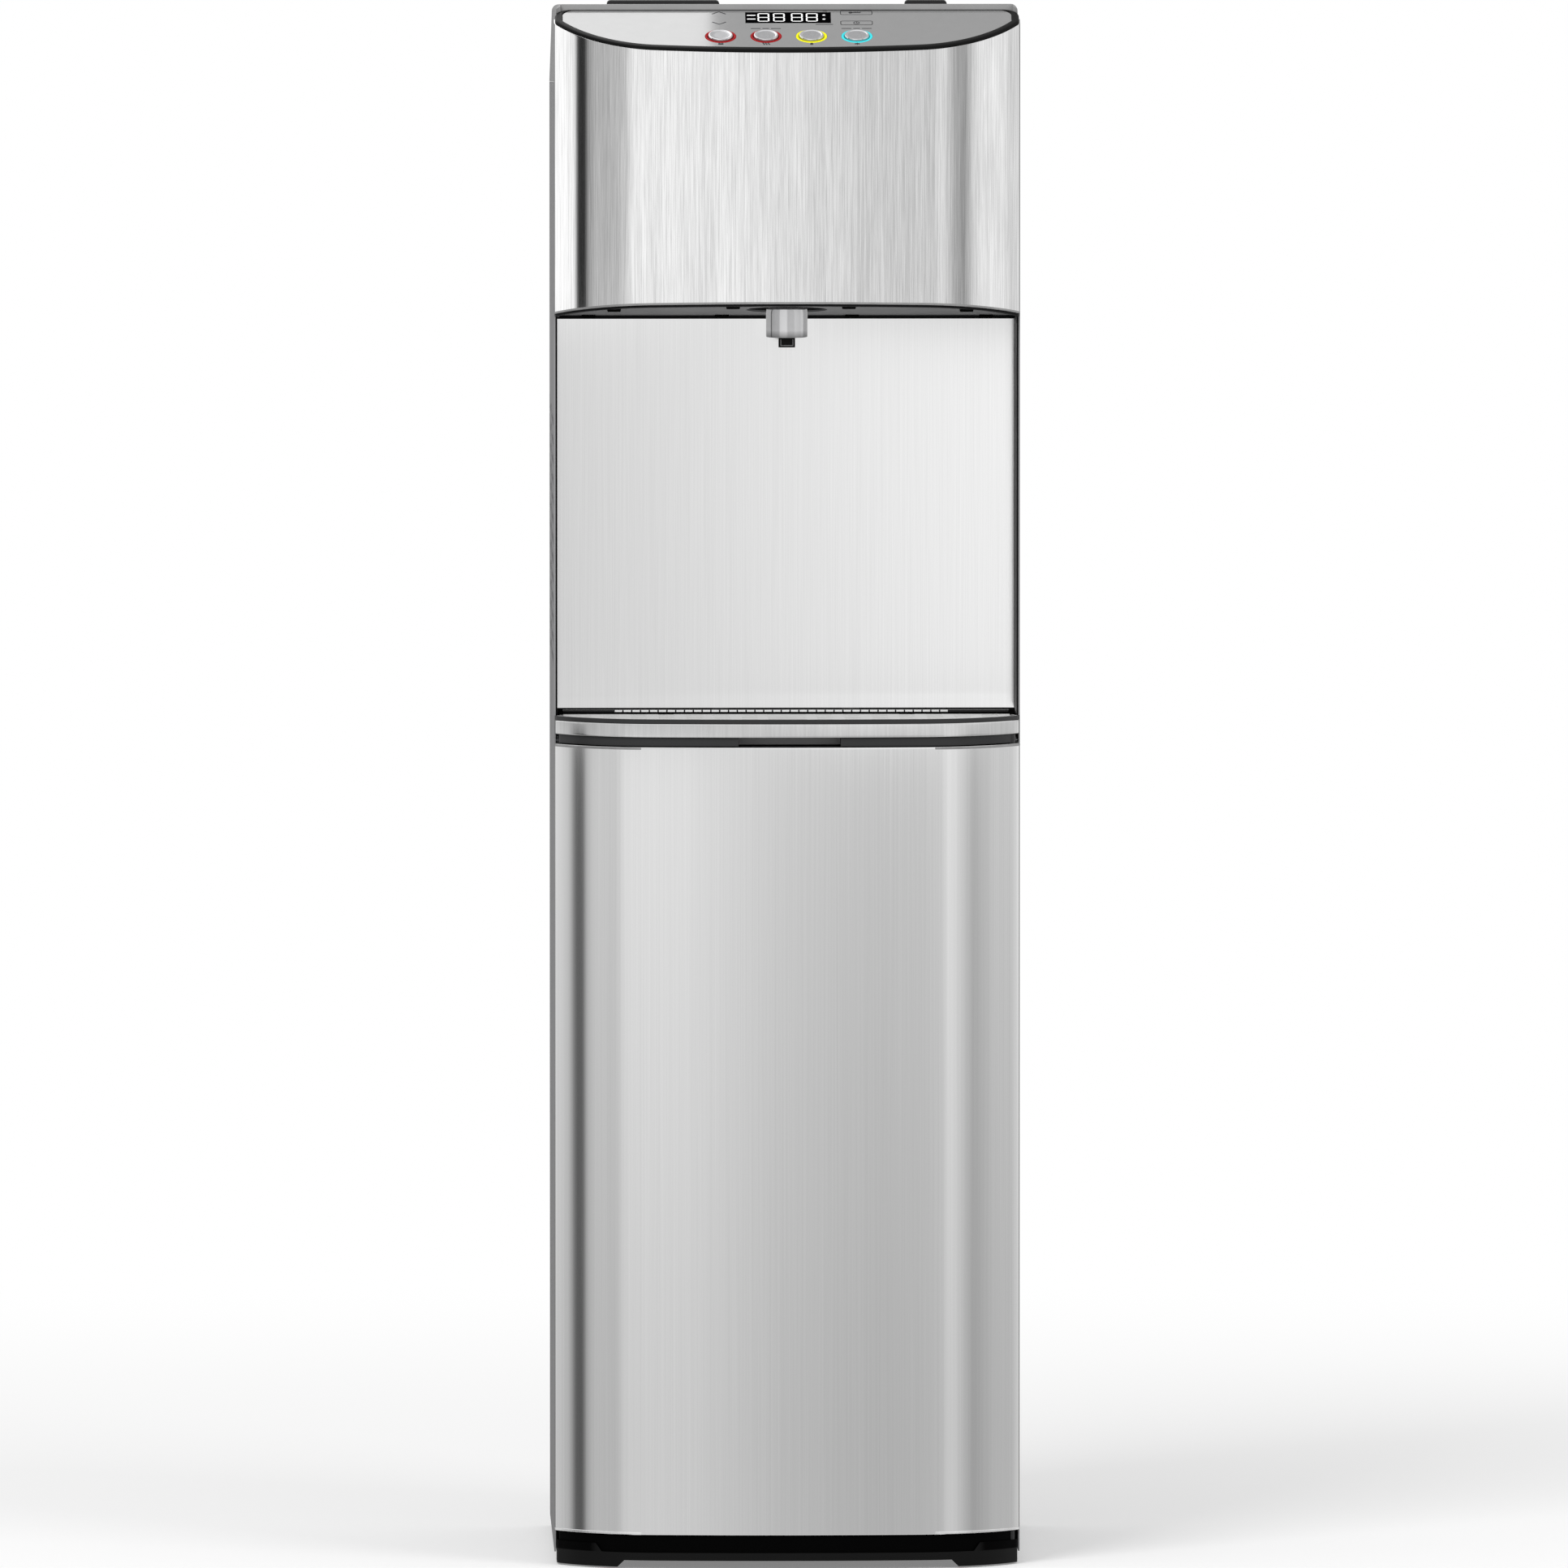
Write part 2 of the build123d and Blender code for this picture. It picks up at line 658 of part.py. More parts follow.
with BuildPart() as canopy_plate:
    # grey underside of the head, with the spout hole and snap slots along both edges
    bow_prism(fascia_low - 20, fascia_high, steel + 0.3 + wall, fascia_back)
    canopy_x = (-canopy_half_width, canopy_half_width)
    block(canopy_x, (fascia_back, alcove_depth - 0.5), (fascia_low - 20, fascia_high))
    cut_between(
        sloping(canopy_front_edge + canopy_lift, canopy_plate_slope),
        sloping(canopy_front_edge + canopy_lift, canopy_plate_slope, wall),
    )
    through = (fascia_low, fascia_high)
    upright(0, spout_depth, through, spout_hole_radius, Mode.SUBTRACT)
    for x in front_clips:
        # the slots follow the bow of the front edge
        beyond = max(0.0, abs(x) - bow_half_chord)
        slot_front = 5.4 + x**2 / (2 * bow_radius) + beyond**2 / (2 * corner_radius)
        slot_x = (x - clip_width / 2, x + clip_width / 2)
        block(slot_x, (slot_front, slot_front + clip_length), through, Mode.SUBTRACT)
    for x in rear_clips:
        slot_x = (x - clip_width / 2, x + clip_width / 2)
        block(slot_x, (rear_clip_depth, rear_clip_depth + clip_length), through, Mode.SUBTRACT)
write("canopy_plate", canopy_plate.part)


# ---------------------------------------------------------------- top cover
ridge_depth = 65.0
cover_draft = 1.8
cover_radius = 4.5
cover_front = side_front + fit_gap
skirt_inner = 150.6


def cover_z(depth):
    """Height of the top of the cover, which falls to the rear from its ridge."""
    return height + (depth - ridge_depth) * tan(radians(cover_slope))


def cover_prism(first, last, inset, bottom, mode=Mode.ADD):
    """Drafted cross-section with rounded upper corners, run along the fall of the cover."""
    run = last - first
    fall = Vector(0, cos(radians(cover_slope)), sin(radians(cover_slope)))
    low = seam_z(first) - bottom
    high = cover_z(first) - inset
    with BuildSketch(Plane(origin=(0, y_at(first), 0), x_dir=(1, 0, 0), z_dir=(0, -1, 0))) as section:
        with BuildLine():
            Polyline(
                (-half_width + inset, low),
                (half_width - inset, low),
                (half_width - inset - cover_draft, high),
                (-half_width + inset + cover_draft, high),
                close=True,
            )
        make_face()
        fillet(section.vertices().group_by(Axis.Y)[-1], cover_radius - inset * 0.8)
    extrude(section.sketch, amount=run / cos(radians(cover_slope)), dir=fall, mode=mode)


ridge_lift = (cover_z(ridge_depth) - fascia_front_top - ridge_depth * tan(radians(panel_slope)))
ridge_plane = sloping(fascia_front_top + ridge_lift, panel_slope)
rim_inset = 0.7
rim_corner = 12.0

with BuildPart() as cover_seat:
    # room for the rim and the panel, and the open front under them
    bow_prism(fascia_low, fascia_high, rim_inset - 0.2, panel_back, rim_corner)
    block((-160.0, 160.0), (0.0, panel_back - rim_corner), (fascia_low, fascia_high))
    split(bisect_by=sloping(fascia_front_top, panel_slope, -0.05), keep=Keep.TOP)

with BuildPart() as top_cover:
    # grey moulded lid: skirt over the side panels, ridge behind the control panel
    cover_prism(cover_front, cover_back, 0.0, 0.0)
    split(bisect_by=ridge_plane, keep=Keep.BOTTOM)
    cover_prism(panel_back + wall, cover_back - wall, wall, 5.0, Mode.SUBTRACT)
    block((-skirt_inner, skirt_inner), (0.0, panel_back), (fascia_low, fascia_high), Mode.SUBTRACT)
    add(cover_seat.part, mode=Mode.SUBTRACT)
write("top_cover", top_cover.part)


# ---------------------------------------------------------------- control panel
rim_width = 4.6
rim_rise = 2.2
rim_back_strip = 1.6
panel_inset = rim_inset + rim_width + 0.1
panel_face = 0.6
panel_under = -2.5
ring_outer = 10.3
ring_seat = -1.5
ring_rise = 0.9
hole_radius = 9.0
button_gap = 0.4
display_centre = (0.7, 55.6)
display_size = (56.7, 17.2)
button_top = 2.1
button_bottom = -7.0
button_skirt = -4.5
flange_seat = -4.7
flange_sheet = 1.2
flange_lap = 2.0
stem_radius = 2.5
dish_depth = 0.5
dish_rim = 1.4
button_names = ("lock", "hot", "room", "cold")
button_xs = [0.7 + (index - 1.5) * button_spacing for index in range(4)]


def panel_at(lift, x=0.0, distance=0.0):
    """Plane parallel to the panel, moved along its normal, with its origin up the slope."""
    lifted = sloping(fascia_front_top, panel_slope, lift)
    return Plane(origin=lifted.from_local_coords((x, distance, 0)), x_dir=(1, 0, 0), z_dir=lifted.z_dir)


with BuildPart() as panel_rim:
    # black bead round the panel, thin along its back
    bow_prism(fascia_low, fascia_high, rim_inset, panel_back - 0.2, rim_corner - 0.2)
    inner_back = panel_back - rim_back_strip
    bow_prism(fascia_low, fascia_high, rim_inset + rim_width, inner_back, rim_corner - 2, Mode.SUBTRACT)
    cut_between(panel_at(0.05), panel_at(rim_rise))
write("panel_rim", panel_rim.part)

with BuildPart() as control_panel:
    # sloping fascia plate with stepped button holes and the recess of the display
    bow_prism(fascia_low, fascia_high, panel_inset, inner_back - 0.1, rim_corner - 2.2)
    cut_between(panel_at(panel_under), panel_at(panel_face))
    for x in button_xs:
        with BuildSketch(panel_at(ring_seat, x, button_slope_distance)):
            Circle(ring_outer + fit_gap)
        extrude(amount=panel_face - ring_seat + 0.5, mode=Mode.SUBTRACT)
        with BuildSketch(panel_at(panel_under - 0.5, x, button_slope_distance)):
            Circle(hole_radius)
        extrude(amount=ring_seat - panel_under + 1, mode=Mode.SUBTRACT)
    with BuildSketch(panel_at(-1.0, *display_centre)):
        Rectangle(display_size[0] + 2 * fit_gap, display_size[1] + 2 * fit_gap)
    extrude(amount=panel_face + 1.5, mode=Mode.SUBTRACT)
write("control_panel", control_panel.part)

with BuildPart() as display_window:
    # dark window over the digits
    with BuildSketch(panel_at(-1.0, *display_centre)):
        Rectangle(*display_size)
    extrude(amount=panel_face + 1.05)
write("display_window", display_window.part)

with BuildPart() as button_rings:
    # one lit ring round each button
    for x in button_xs:
        with BuildSketch(panel_at(ring_seat, x, button_slope_distance)):
            Circle(ring_outer)
            Circle(button_radius + button_gap, mode=Mode.SUBTRACT)
        extrude(amount=ring_rise - ring_seat)
write("button_rings", button_rings.part)

for button_name, button_x in zip(button_names, button_xs):
    with BuildPart() as button:
        # round key with a dished face and a retaining flange under the panel
        with BuildSketch(panel_at(button_skirt, button_x, button_slope_distance)):
            Circle(button_radius)
        extrude(amount=button_top - button_skirt)
        with BuildSketch(panel_at(flange_seat, button_x, button_slope_distance)):
            Circle(button_radius + flange_lap)
        extrude(amount=flange_sheet)
        with BuildSketch(panel_at(button_bottom, button_x, button_slope_distance)):
            Circle(stem_radius)
        extrude(amount=button_skirt - button_bottom + 0.5)
        with BuildSketch(panel_at(button_top - dish_depth, button_x, button_slope_distance)):
            Circle(button_radius - dish_rim)
        extrude(amount=2 * dish_depth, mode=Mode.SUBTRACT)
    write(f"button_{button_name}", button.part)

board_under = -14.0
board_sheet = 1.6
board_size = (132.0, 50.0)
board_centre = (0.7, 38.0)
press_switch = (6.0, 3.2)
digit_block = (50.0, 12.0, 8.0)

with BuildPart() as control_board:
    # circuit board with one press switch under each key and the display block
    with BuildSketch(panel_at(board_under, *board_centre)):
        Rectangle(*board_size)
    extrude(amount=board_sheet)
    for x in button_xs:
        with BuildSketch(panel_at(board_under + board_sheet, x, button_slope_distance)):
            Rectangle(press_switch[0], press_switch[0])
        extrude(amount=press_switch[1])
    with BuildSketch(panel_at(board_under + board_sheet, *display_centre)):
        Rectangle(digit_block[0], digit_block[1])
    extrude(amount=digit_block[2])
write("control_board", control_board.part)


# ---------------------------------------------------------------- spout and valves
spout_bottom = 817.9
nozzle_bottom = 811.6
neck_radius = 11.3
skirt_radius = 13.7
shoulder_bottom = 831.0
shoulder_top = 840.0
shoulder_radius = 18.0
spout_wall = 2.0
nozzle_side = 11.0
manifold_bottom = 852.0
manifold_top = 876.0
manifold_half = (42.0, 16.0)
valve_xs = (-28.0, 0.0, 28.0)

with BuildPart() as spout_shell:
    # satin shell: a straight skirt that narrows in a long curve to the neck
    with BuildSketch(Plane(origin=(0, y_at(spout_depth), 0), x_dir=(1, 0, 0), z_dir=(0, -1, 0))):
        with BuildLine():
            bore = neck_radius - spout_wall
            Line((bore, manifold_bottom), (neck_radius, manifold_bottom))
            Line((neck_radius, manifold_bottom), (neck_radius, shoulder_top))
            RadiusArc((neck_radius, shoulder_top), (skirt_radius, shoulder_bottom), shoulder_radius)
            Line((skirt_radius, shoulder_bottom), (skirt_radius, spout_bottom + 1))
            RadiusArc((skirt_radius, spout_bottom + 1), (skirt_radius - 1, spout_bottom), 1.0)
            Line((skirt_radius - 1, spout_bottom), (bore, spout_bottom))
            Line((bore, spout_bottom), (bore, manifold_bottom))
        make_face()
    revolve(axis=Axis((0, y_at(spout_depth), 0), (0, 0, 1)))
write("spout_shell", spout_shell.part)

with BuildPart() as spout_nozzle:
    # black outlet with three water ways, held in the shell
    with BuildSketch(Plane(origin=(0, y_at(spout_depth), nozzle_bottom))):
        RectangleRounded(nozzle_side, nozzle_side, 1.6)
    extrude(amount=spout_bottom - nozzle_bottom + 20)
    with BuildSketch(Plane(origin=(0, y_at(spout_depth), spout_bottom + 1))):
        Circle(neck_radius - spout_wall - 0.1)
    extrude(amount=6.0)
    with BuildSketch(Plane(origin=(0, y_at(spout_depth), nozzle_bottom))):
        with PolarLocations(2.6, 3):
            Circle(1.5)
    extrude(amount=30.0, mode=Mode.SUBTRACT)
write("spout_nozzle", spout_nozzle.part)

with BuildPart() as dispense_manifold:
    # block that joins the hot, room and cold ways above the spout
    manifold_x = (-manifold_half[0], manifold_half[0])
    manifold_depths = (spout_depth - manifold_half[1], spout_depth + manifold_half[1])
    block(manifold_x, manifold_depths, (manifold_bottom, manifold_top))
    fillet(dispense_manifold.edges().filter_by(Axis.Z), 4.0)
    upright(0, spout_depth, (manifold_bottom, manifold_bottom + 12), 7.0, Mode.SUBTRACT)
write("dispense_manifold", dispense_manifold.part)

with BuildPart() as solenoid_valves:
    # three coils with their cores on the manifold
    for x in valve_xs:
        upright(x, spout_depth, (manifold_top, manifold_top + 6), 9.0)
        upright(x, spout_depth, (manifold_top + 6, manifold_top + 34), 12.0)
        upright(x, spout_depth, (manifold_top + 34, manifold_top + 40), 4.0)
write("solenoid_valves", solenoid_valves.part)


# ---------------------------------------------------------------- tanks
cold_radius = 62.0
hot_radius = 45.0
tank_bottom = 722.0
tank_top = 890.0
tank_sheet = 1.2
tank_outlet = 6.0
neck_outer, neck_inner = 9.0, 7.8
jacket_half = 79.0
jacket_wall = 17.0
heater_z = (tank_bottom + 18.0, tank_bottom + 62.0)
jacket_bottom = tank_shelf_z + deck_sheet


def tank_shape(x, depth, radius):
    """Thin-walled upright tank with coned ends and a filling neck on top."""
    with BuildPart() as tank:
        plane = Plane(origin=(x, y_at(depth), 0), x_dir=(1, 0, 0), z_dir=(0, -1, 0))
        inner = radius - tank_sheet
        with BuildSketch(plane):
            with BuildLine():
                Polyline(
                    (tank_outlet, tank_bottom - 8),
                    (radius, tank_bottom),
                    (radius, tank_top),
                    (neck_outer, tank_top + 8),
                    (neck_outer, tank_top + 16),
                    (neck_inner, tank_top + 16),
                    (neck_inner, tank_top + 7),
                    (inner, tank_top - tank_sheet),
                    (inner, tank_bottom + tank_sheet),
                    (tank_outlet, tank_bottom - 8 + tank_sheet),
                    close=True,
                )
            make_face()
        revolve(axis=Axis((x, y_at(depth), 0), (0, 0, 1)))
    return tank.part


write("cold_tank", tank_shape(cold_x, tank_depth, cold_radius))
write("hot_tank", tank_shape(hot_x, tank_depth, hot_radius))

with BuildPart() as tank_insulation:
    # foam block round the cold tank and foam sleeve round the hot one
    jacket_x = (cold_x - jacket_half, cold_x + jacket_half)
    jacket_depths = (tank_depth - jacket_half, tank_depth + jacket_half)
    block(jacket_x, jacket_depths, (jacket_bottom, tank_top))
    fillet(tank_insulation.edges().filter_by(Axis.Z), 14.0)
    upright(cold_x, tank_depth, (tank_bottom - 10, tank_top), cold_radius + 0.3, Mode.SUBTRACT)
    upright(hot_x, tank_depth, (jacket_bottom, tank_top), hot_radius + jacket_wall)
    upright(hot_x, tank_depth, (tank_bottom - 10, tank_top), hot_radius + 4, Mode.SUBTRACT)
write("tank_insulation", tank_insulation.part)

with BuildPart() as tank_heater:
    # band heater clamped round the hot tank, and two thermostats on its upper side
    upright(hot_x, tank_depth, heater_z, hot_radius + 3)
    upright(hot_x, tank_depth, heater_z, hot_radius + 0.1, Mode.SUBTRACT)
    for x in (hot_x - 25, hot_x + 25):
        upright(x, tank_depth, (tank_top + 8.5, tank_top + 16), 8.0)
write("tank_heater", tank_heater.part)


# ---------------------------------------------------------------- machine compartment
deck_top = deck_bottom + deck_sheet
compressor_x, compressor_depth = -62.0, 232.0
compressor_radius = 58.0
mount_height = 9.0
compressor_foot = deck_top + mount_height
foot_half = (66.0, 56.0)
mount_half = (58.0, 48.0)
shell_height = 118.0
shell_wall = 3.0
mount_points = [
    (compressor_x + right * mount_half[0], compressor_depth + rear * mount_half[1])
    for right in (-1, 1)
    for rear in (-1, 1)
]

with BuildPart() as compressor:
    # welded steel shell in two domed halves on a foot plate
    axis_plane = Plane(origin=(compressor_x, y_at(compressor_depth), 0), x_dir=(1, 0, 0), z_dir=(0, -1, 0))
    shell_low = compressor_foot + 2.0
    with BuildSketch(axis_plane):
        with BuildLine():
            floor_line = Line((0, shell_low), (34, shell_low))
            lower_dome = JernArc(floor_line @ 1, (1, 0), 24.0, 90)
            wall_line = Line(lower_dome @ 1, (compressor_radius, shell_low + 88))
            upper_dome = JernArc(wall_line @ 1, (0, 1), 30.0, 90)
            inner_radius = compressor_radius - shell_wall
            inner_top = shell_low + shell_height - shell_wall
            Polyline(
                upper_dome @ 1,
                (0, shell_low + shell_height),
                (0, inner_top),
                (26, inner_top),
                (inner_radius, shell_low + 86),
                (inner_radius, shell_low + 24),
                (34, shell_low + shell_wall),
                (0, shell_low + shell_wall),
                (0, shell_low),
            )
        make_face()
    revolve(axis=Axis((compressor_x, y_at(compressor_depth), 0), (0, 0, 1)))
    foot_x = (compressor_x - foot_half[0], compressor_x + foot_half[0])
    foot_depths = (compressor_depth - foot_half[1], compressor_depth + foot_half[1])
    foot_z = (compressor_foot, shell_low)
    block(foot_x, foot_depths, foot_z)
    for x, mount_depth in mount_points:
        upright(x, mount_depth, foot_z, 4.0, Mode.SUBTRACT)
write("compressor", compressor.part)

with BuildPart() as compressor_mounts:
    # rubber grommets between the deck and the foot plate
    for x, mount_depth in mount_points:
        upright(x, mount_depth, (deck_top, compressor_foot), 8.0)
        upright(x, mount_depth, (compressor_foot, compressor_foot + 5.0), 3.8)
write("compressor_mounts", compressor_mounts.part)

pump_base = deck_top + 4.0
pump_head = 22.0
with BuildPart() as water_pump:
    # upright pump: foot, head with two barbs, and motor can
    block((pump_x - 24, pump_x + 24), (pump_depth - 20, pump_depth + 20), (deck_top, pump_base))
    upright(pump_x, pump_depth, (pump_base, pump_base + pump_head), 19.0)
    upright(pump_x, pump_depth, (pump_base + pump_head, pump_base + pump_head + 44), 16.0)
    for side in (-1, 1):
        barb_at = (pump_x, y_at(pump_depth), pump_base + pump_head / 2)
        barb = Plane(origin=barb_at, x_dir=(0, 1, 0), z_dir=(side, 0, 0))
        with BuildSketch(barb.offset(15)):
            Circle(3.5)
        extrude(amount=11)
write("water_pump", water_pump.part)

power_x = 128.0
relay_places = ((220.0, 575.0), (250.0, 575.0), (280.0, 575.0), (300.0, 610.0))
with BuildPart() as power_board:
    # mains board with its relays, upright on the deck beside the pump
    block((power_x, power_x + 2.0), (200.0, 320.0), (deck_top, deck_top + 110))
    for relay_depth, relay_z in relay_places:
        block((power_x - 18, power_x), (relay_depth - 9, relay_depth + 9), (relay_z, relay_z + 22))
write("power_board", power_board.part)


def tube(points, radii, outer, inner=0.0):
    """Tube of straight runs joined by tangent arcs; the points are (x, depth, z)."""
    with BuildPart() as pipe:
        places = [(x, y_at(depth), z) for x, depth, z in points]
        with BuildLine() as path:
            FilletPolyline(*places, radius=radii)
        start = Vector(*places[0])
        direction = Vector(*places[1]) - start
        with BuildSketch(Plane(origin=start, z_dir=direction)):
            Circle(outer)
            if inner:
                Circle(inner, mode=Mode.SUBTRACT)
        sweep(path=path.wires()[0])
    return pipe.part


tube_radius = 4.0
tube_wall = 1.2
pump_z = pump_base + pump_head / 2
riser_points = (
    (pump_x + 26.0, pump_depth, pump_z),
    (riser_x, pump_depth, pump_z),
    (riser_x, riser_depth, pump_z + 30),
    (riser_x, riser_depth, 842.0),
    (110.0, 106.0, 866.0),
    (72.0, spout_depth + 8, 864.0),
    (42.0, spout_depth + 8, 864.0),
)
riser_bends = (9.0, 14.0, 16.0, 24.0, 16.0)
with BuildPart() as water_lines:
    # inlet stub through the deck for the probe's hose, and the riser to the manifold
    upright(stub_x, pump_depth, (deck_bottom - 24, pump_z + tube_radius), tube_radius)
    upright(stub_x, pump_depth, (deck_bottom - 6, deck_bottom - 1.2), 2 * tube_radius)
    riser = tube(riser_points, riser_bends, tube_radius, tube_radius - tube_wall)
    add(riser)
write("water_lines", water_lines.part)

coil_depth = 350.0
coil_radius = 2.4
coil_half_width = 118.0
coil_pitch = 36.0
coil_rows = 15
coil_bottom = 124.0
coil_top = coil_bottom + (coil_rows - 1) * coil_pitch
coil_bend = 15.0
coil_turn_in = 6.0
wire_overhang = 10.0

drier_x = compressor_x + 60.0
drier_depth = compressor_depth + 84.0
drier_top = 585.0
drier_length = 30.0
copper_points = (
    (compressor_x, compressor_depth + compressor_radius + 1, 640.0),
    (compressor_x, drier_depth, 640.0),
    (drier_x, drier_depth, 625.0),
    (drier_x, drier_depth, drier_top),
)
with BuildPart() as refrigerant_line:
    # discharge line of the compressor and the copper filter drier that it feeds
    copper = tube(copper_points, (8.0, 10.0), 2.4)
    add(copper)
    upright(drier_x, drier_depth, (drier_top - drier_length, drier_top), 8.0)
write("refrigerant_line", refrigerant_line.part)


def serpentine():
    """Points of the condenser tube: level runs joined at alternate ends, both ends turned in."""
    panel_face_depth = cabinet_back + sheet
    points = [(-coil_half_width, panel_face_depth, coil_bottom)]
    for row in range(coil_rows):
        z = coil_bottom + row * coil_pitch
        ends = (-coil_half_width, coil_half_width)
        first, last = ends if row % 2 == 0 else ends[::-1]
        points += [(first, coil_depth, z), (last, coil_depth, z)]
    points.append((coil_half_width, panel_face_depth, coil_top))
    return points


coil_points = serpentine()
with BuildPart() as condenser_coil:
    # one bent tube on the back of the cabinet
    bends = [coil_turn_in] + [coil_bend] * (len(coil_points) - 4) + [coil_turn_in]
    coil = tube(coil_points, bends, coil_radius)
    add(coil)
write("condenser_coil", condenser_coil.part)

wire_count = 21
wire_pitch = 10.6
wire_radius = 0.8
wire_offset = coil_radius + wire_radius + 0.05
with BuildPart() as condenser_wires:
    # straight wires on both sides of the coil, which spread its heat
    for offset in (-wire_offset, wire_offset):
        with BuildSketch(level(coil_bottom - wire_overhang)):
            with Locations((0, coil_depth + offset)):
                with GridLocations(wire_pitch, 1, wire_count, 1):
                    Circle(wire_radius)
        extrude(amount=coil_top - coil_bottom + 2 * wire_overhang)
write("condenser_wires", condenser_wires.part)

bracket_x = 8.5 * wire_pitch
bracket_half = (4.0, 9.0)
with BuildPart() as condenser_brackets:
    # four feet that stand the coil off the rear panel
    for x in (-bracket_x, bracket_x):
        for row in (2, coil_rows - 3):
            z = coil_bottom + row * coil_pitch
            foot_x = (x - bracket_half[0], x + bracket_half[0])
            foot_depths = (cabinet_back + sheet, coil_depth - coil_radius - 0.05)
            block(foot_x, foot_depths, (z - bracket_half[1], z + bracket_half[1]))
write("condenser_brackets", condenser_brackets.part)


# ---------------------------------------------------------------- rear electrics and drain
face_back = cabinet_back + sheet
socket_size = (24.6, 16.6)
socket_depth = 15.0
blade_places = ((-7.0, -2.0), (7.0, -2.0), (0.0, 2.5))
blade_size = (2.0, 4.0)
inlet_flange = 3.0
rocker_radius = 8.5
rocker_width = 11.0
rocker_tilt = 8.0
rocker_axis_depth = face_back + 6.0
housing_back = rocker_axis_depth + 2.2

with BuildPart() as power_inlet:
    # flanged mains inlet with three blades; its cord is not part of the cooler
    with BuildSketch(rear_facing(face_back, inlet_x, inlet_z)):
        RectangleRounded(inlet_width, inlet_height, 4.0)
    extrude(amount=inlet_flange)
    with BuildSketch(rear_facing(face_back - 20, inlet_x, inlet_z)):
        RectangleRounded(inlet_width - 13, inlet_height - 9, 2.0)
    extrude(amount=21.0)
    with BuildSketch(rear_facing(face_back - socket_depth, inlet_x, inlet_z)):
        RectangleRounded(*socket_size, 2.0)
    extrude(amount=socket_depth + inlet_flange + 1, mode=Mode.SUBTRACT)
    with BuildSketch(rear_facing(face_back - socket_depth, inlet_x, inlet_z)):
        with Locations(*blade_places):
            Rectangle(*blade_size)
    extrude(amount=socket_depth - 5)
write("power_inlet", power_inlet.part)

with BuildPart() as switch_housing:
    # bezel with a pocket for each rocker
    with BuildSketch(rear_facing(face_back, switch_x, switch_z)):
        RectangleRounded(switch_width, switch_height, 4.0)
    extrude(amount=housing_back - face_back)
    with BuildSketch(rear_facing(face_back - 14, switch_x, switch_z)):
        RectangleRounded(switch_width - 9, switch_height - 9, 2.0)
    extrude(amount=14.0)
    with BuildSketch(rear_facing(face_back - 4, switch_x, switch_z)):
        with GridLocations(rocker_pitch, 1, 3, 1):
            Rectangle(rocker_width + 0.8, 2 * rocker_radius + 0.8)
    extrude(amount=20.0, mode=Mode.SUBTRACT)
write("switch_housing", switch_housing.part)

for index, rocker_name in enumerate(("light", "hot", "cold")):
    rocker_x = switch_x + (1 - index) * rocker_pitch
    tilted = Plane(
        origin=(rocker_x - rocker_width / 2, y_at(rocker_axis_depth), switch_z),
        x_dir=(0, sin(radians(rocker_tilt)), -cos(radians(rocker_tilt))),
        z_dir=(1, 0, 0),
    )
    with BuildPart() as rocker:
        # drum segment with a shallow V face, tipped to its off side
        with BuildSketch(tilted):
            Circle(rocker_radius)
            with BuildLine():
                Polyline((-12, 4.2), (0, 2.4), (12, 4.2), (12, 14), (-12, 14), close=True)
            make_face(mode=Mode.SUBTRACT)
            with Locations((0, -10)):
                Rectangle(24, 12, mode=Mode.SUBTRACT)
        extrude(amount=rocker_width)
    write(f"rocker_{rocker_name}", rocker.part)

drain_end = 354.0
drain_start = cabinet_back - 16.0
drain_bore = 3.0
nut_radius = 9.0
nut_sheet = 3.0
cap_front = face_back + nut_sheet + 0.4
cap_radius = 8.0
grip_count = 16
with BuildPart() as drain_outlet:
    # threaded drain stub through the rear panel, with a nut against it
    with BuildSketch(rear_facing(drain_start, drain_x, drain_z)):
        Circle(drain_radius)
    extrude(amount=drain_end - drain_start - 4)
    with BuildSketch(rear_facing(face_back, drain_x, drain_z)):
        RegularPolygon(nut_radius, 6)
    extrude(amount=nut_sheet)
    with BuildSketch(rear_facing(drain_start, drain_x, drain_z)):
        Circle(drain_bore)
    extrude(amount=drain_end, mode=Mode.SUBTRACT)
write("drain_outlet", drain_outlet.part)

with BuildPart() as drain_cap:
    # screw cap with a grip rim over the drain stub
    with BuildSketch(rear_facing(cap_front, drain_x, drain_z)):
        Circle(cap_radius)
    extrude(amount=drain_end - face_back - 1.0)
    with BuildSketch(rear_facing(cap_front, drain_x, drain_z)):
        Circle(drain_radius + 0.4)
    extrude(amount=drain_end - face_back - 5.6, mode=Mode.SUBTRACT)
    with BuildSketch(rear_facing(cap_front, drain_x, drain_z)):
        with PolarLocations(cap_radius + 0.6, grip_count):
            Circle(1.1)
    extrude(amount=drain_end - face_back - 2.0, mode=Mode.SUBTRACT)
write("drain_cap", drain_cap.part)


# ---------------------------------------------------------------- wall spacers
spacer_top = 1028.9
spacer_bottom = 985.0
spacers = ((-116.3, -40.6), (84.1, 112.5))
lug = 4.2
lug_sheet = 2.0
with BuildPart() as wall_spacers:
    # two black stops at the rear of the lid that keep the condenser off the wall
    for first, last in spacers:
        block((first, last), (cover_back, depth_total), (spacer_bottom, spacer_top))
    fillet(wall_spacers.edges().filter_by(Axis.Y).group_by(Axis.Z)[-1], 2.5)
    lug_depths = (cover_back, cover_back + lug_sheet)
    lug_z = (spacer_bottom, spacer_top - 3.5)
    for outer, inward in ((spacers[0][0] - lug, 1), (spacers[1][1] + lug, -1)):
        lug_x = sorted((outer, outer + inward * (lug + 2)))
        block(lug_x, lug_depths, lug_z)
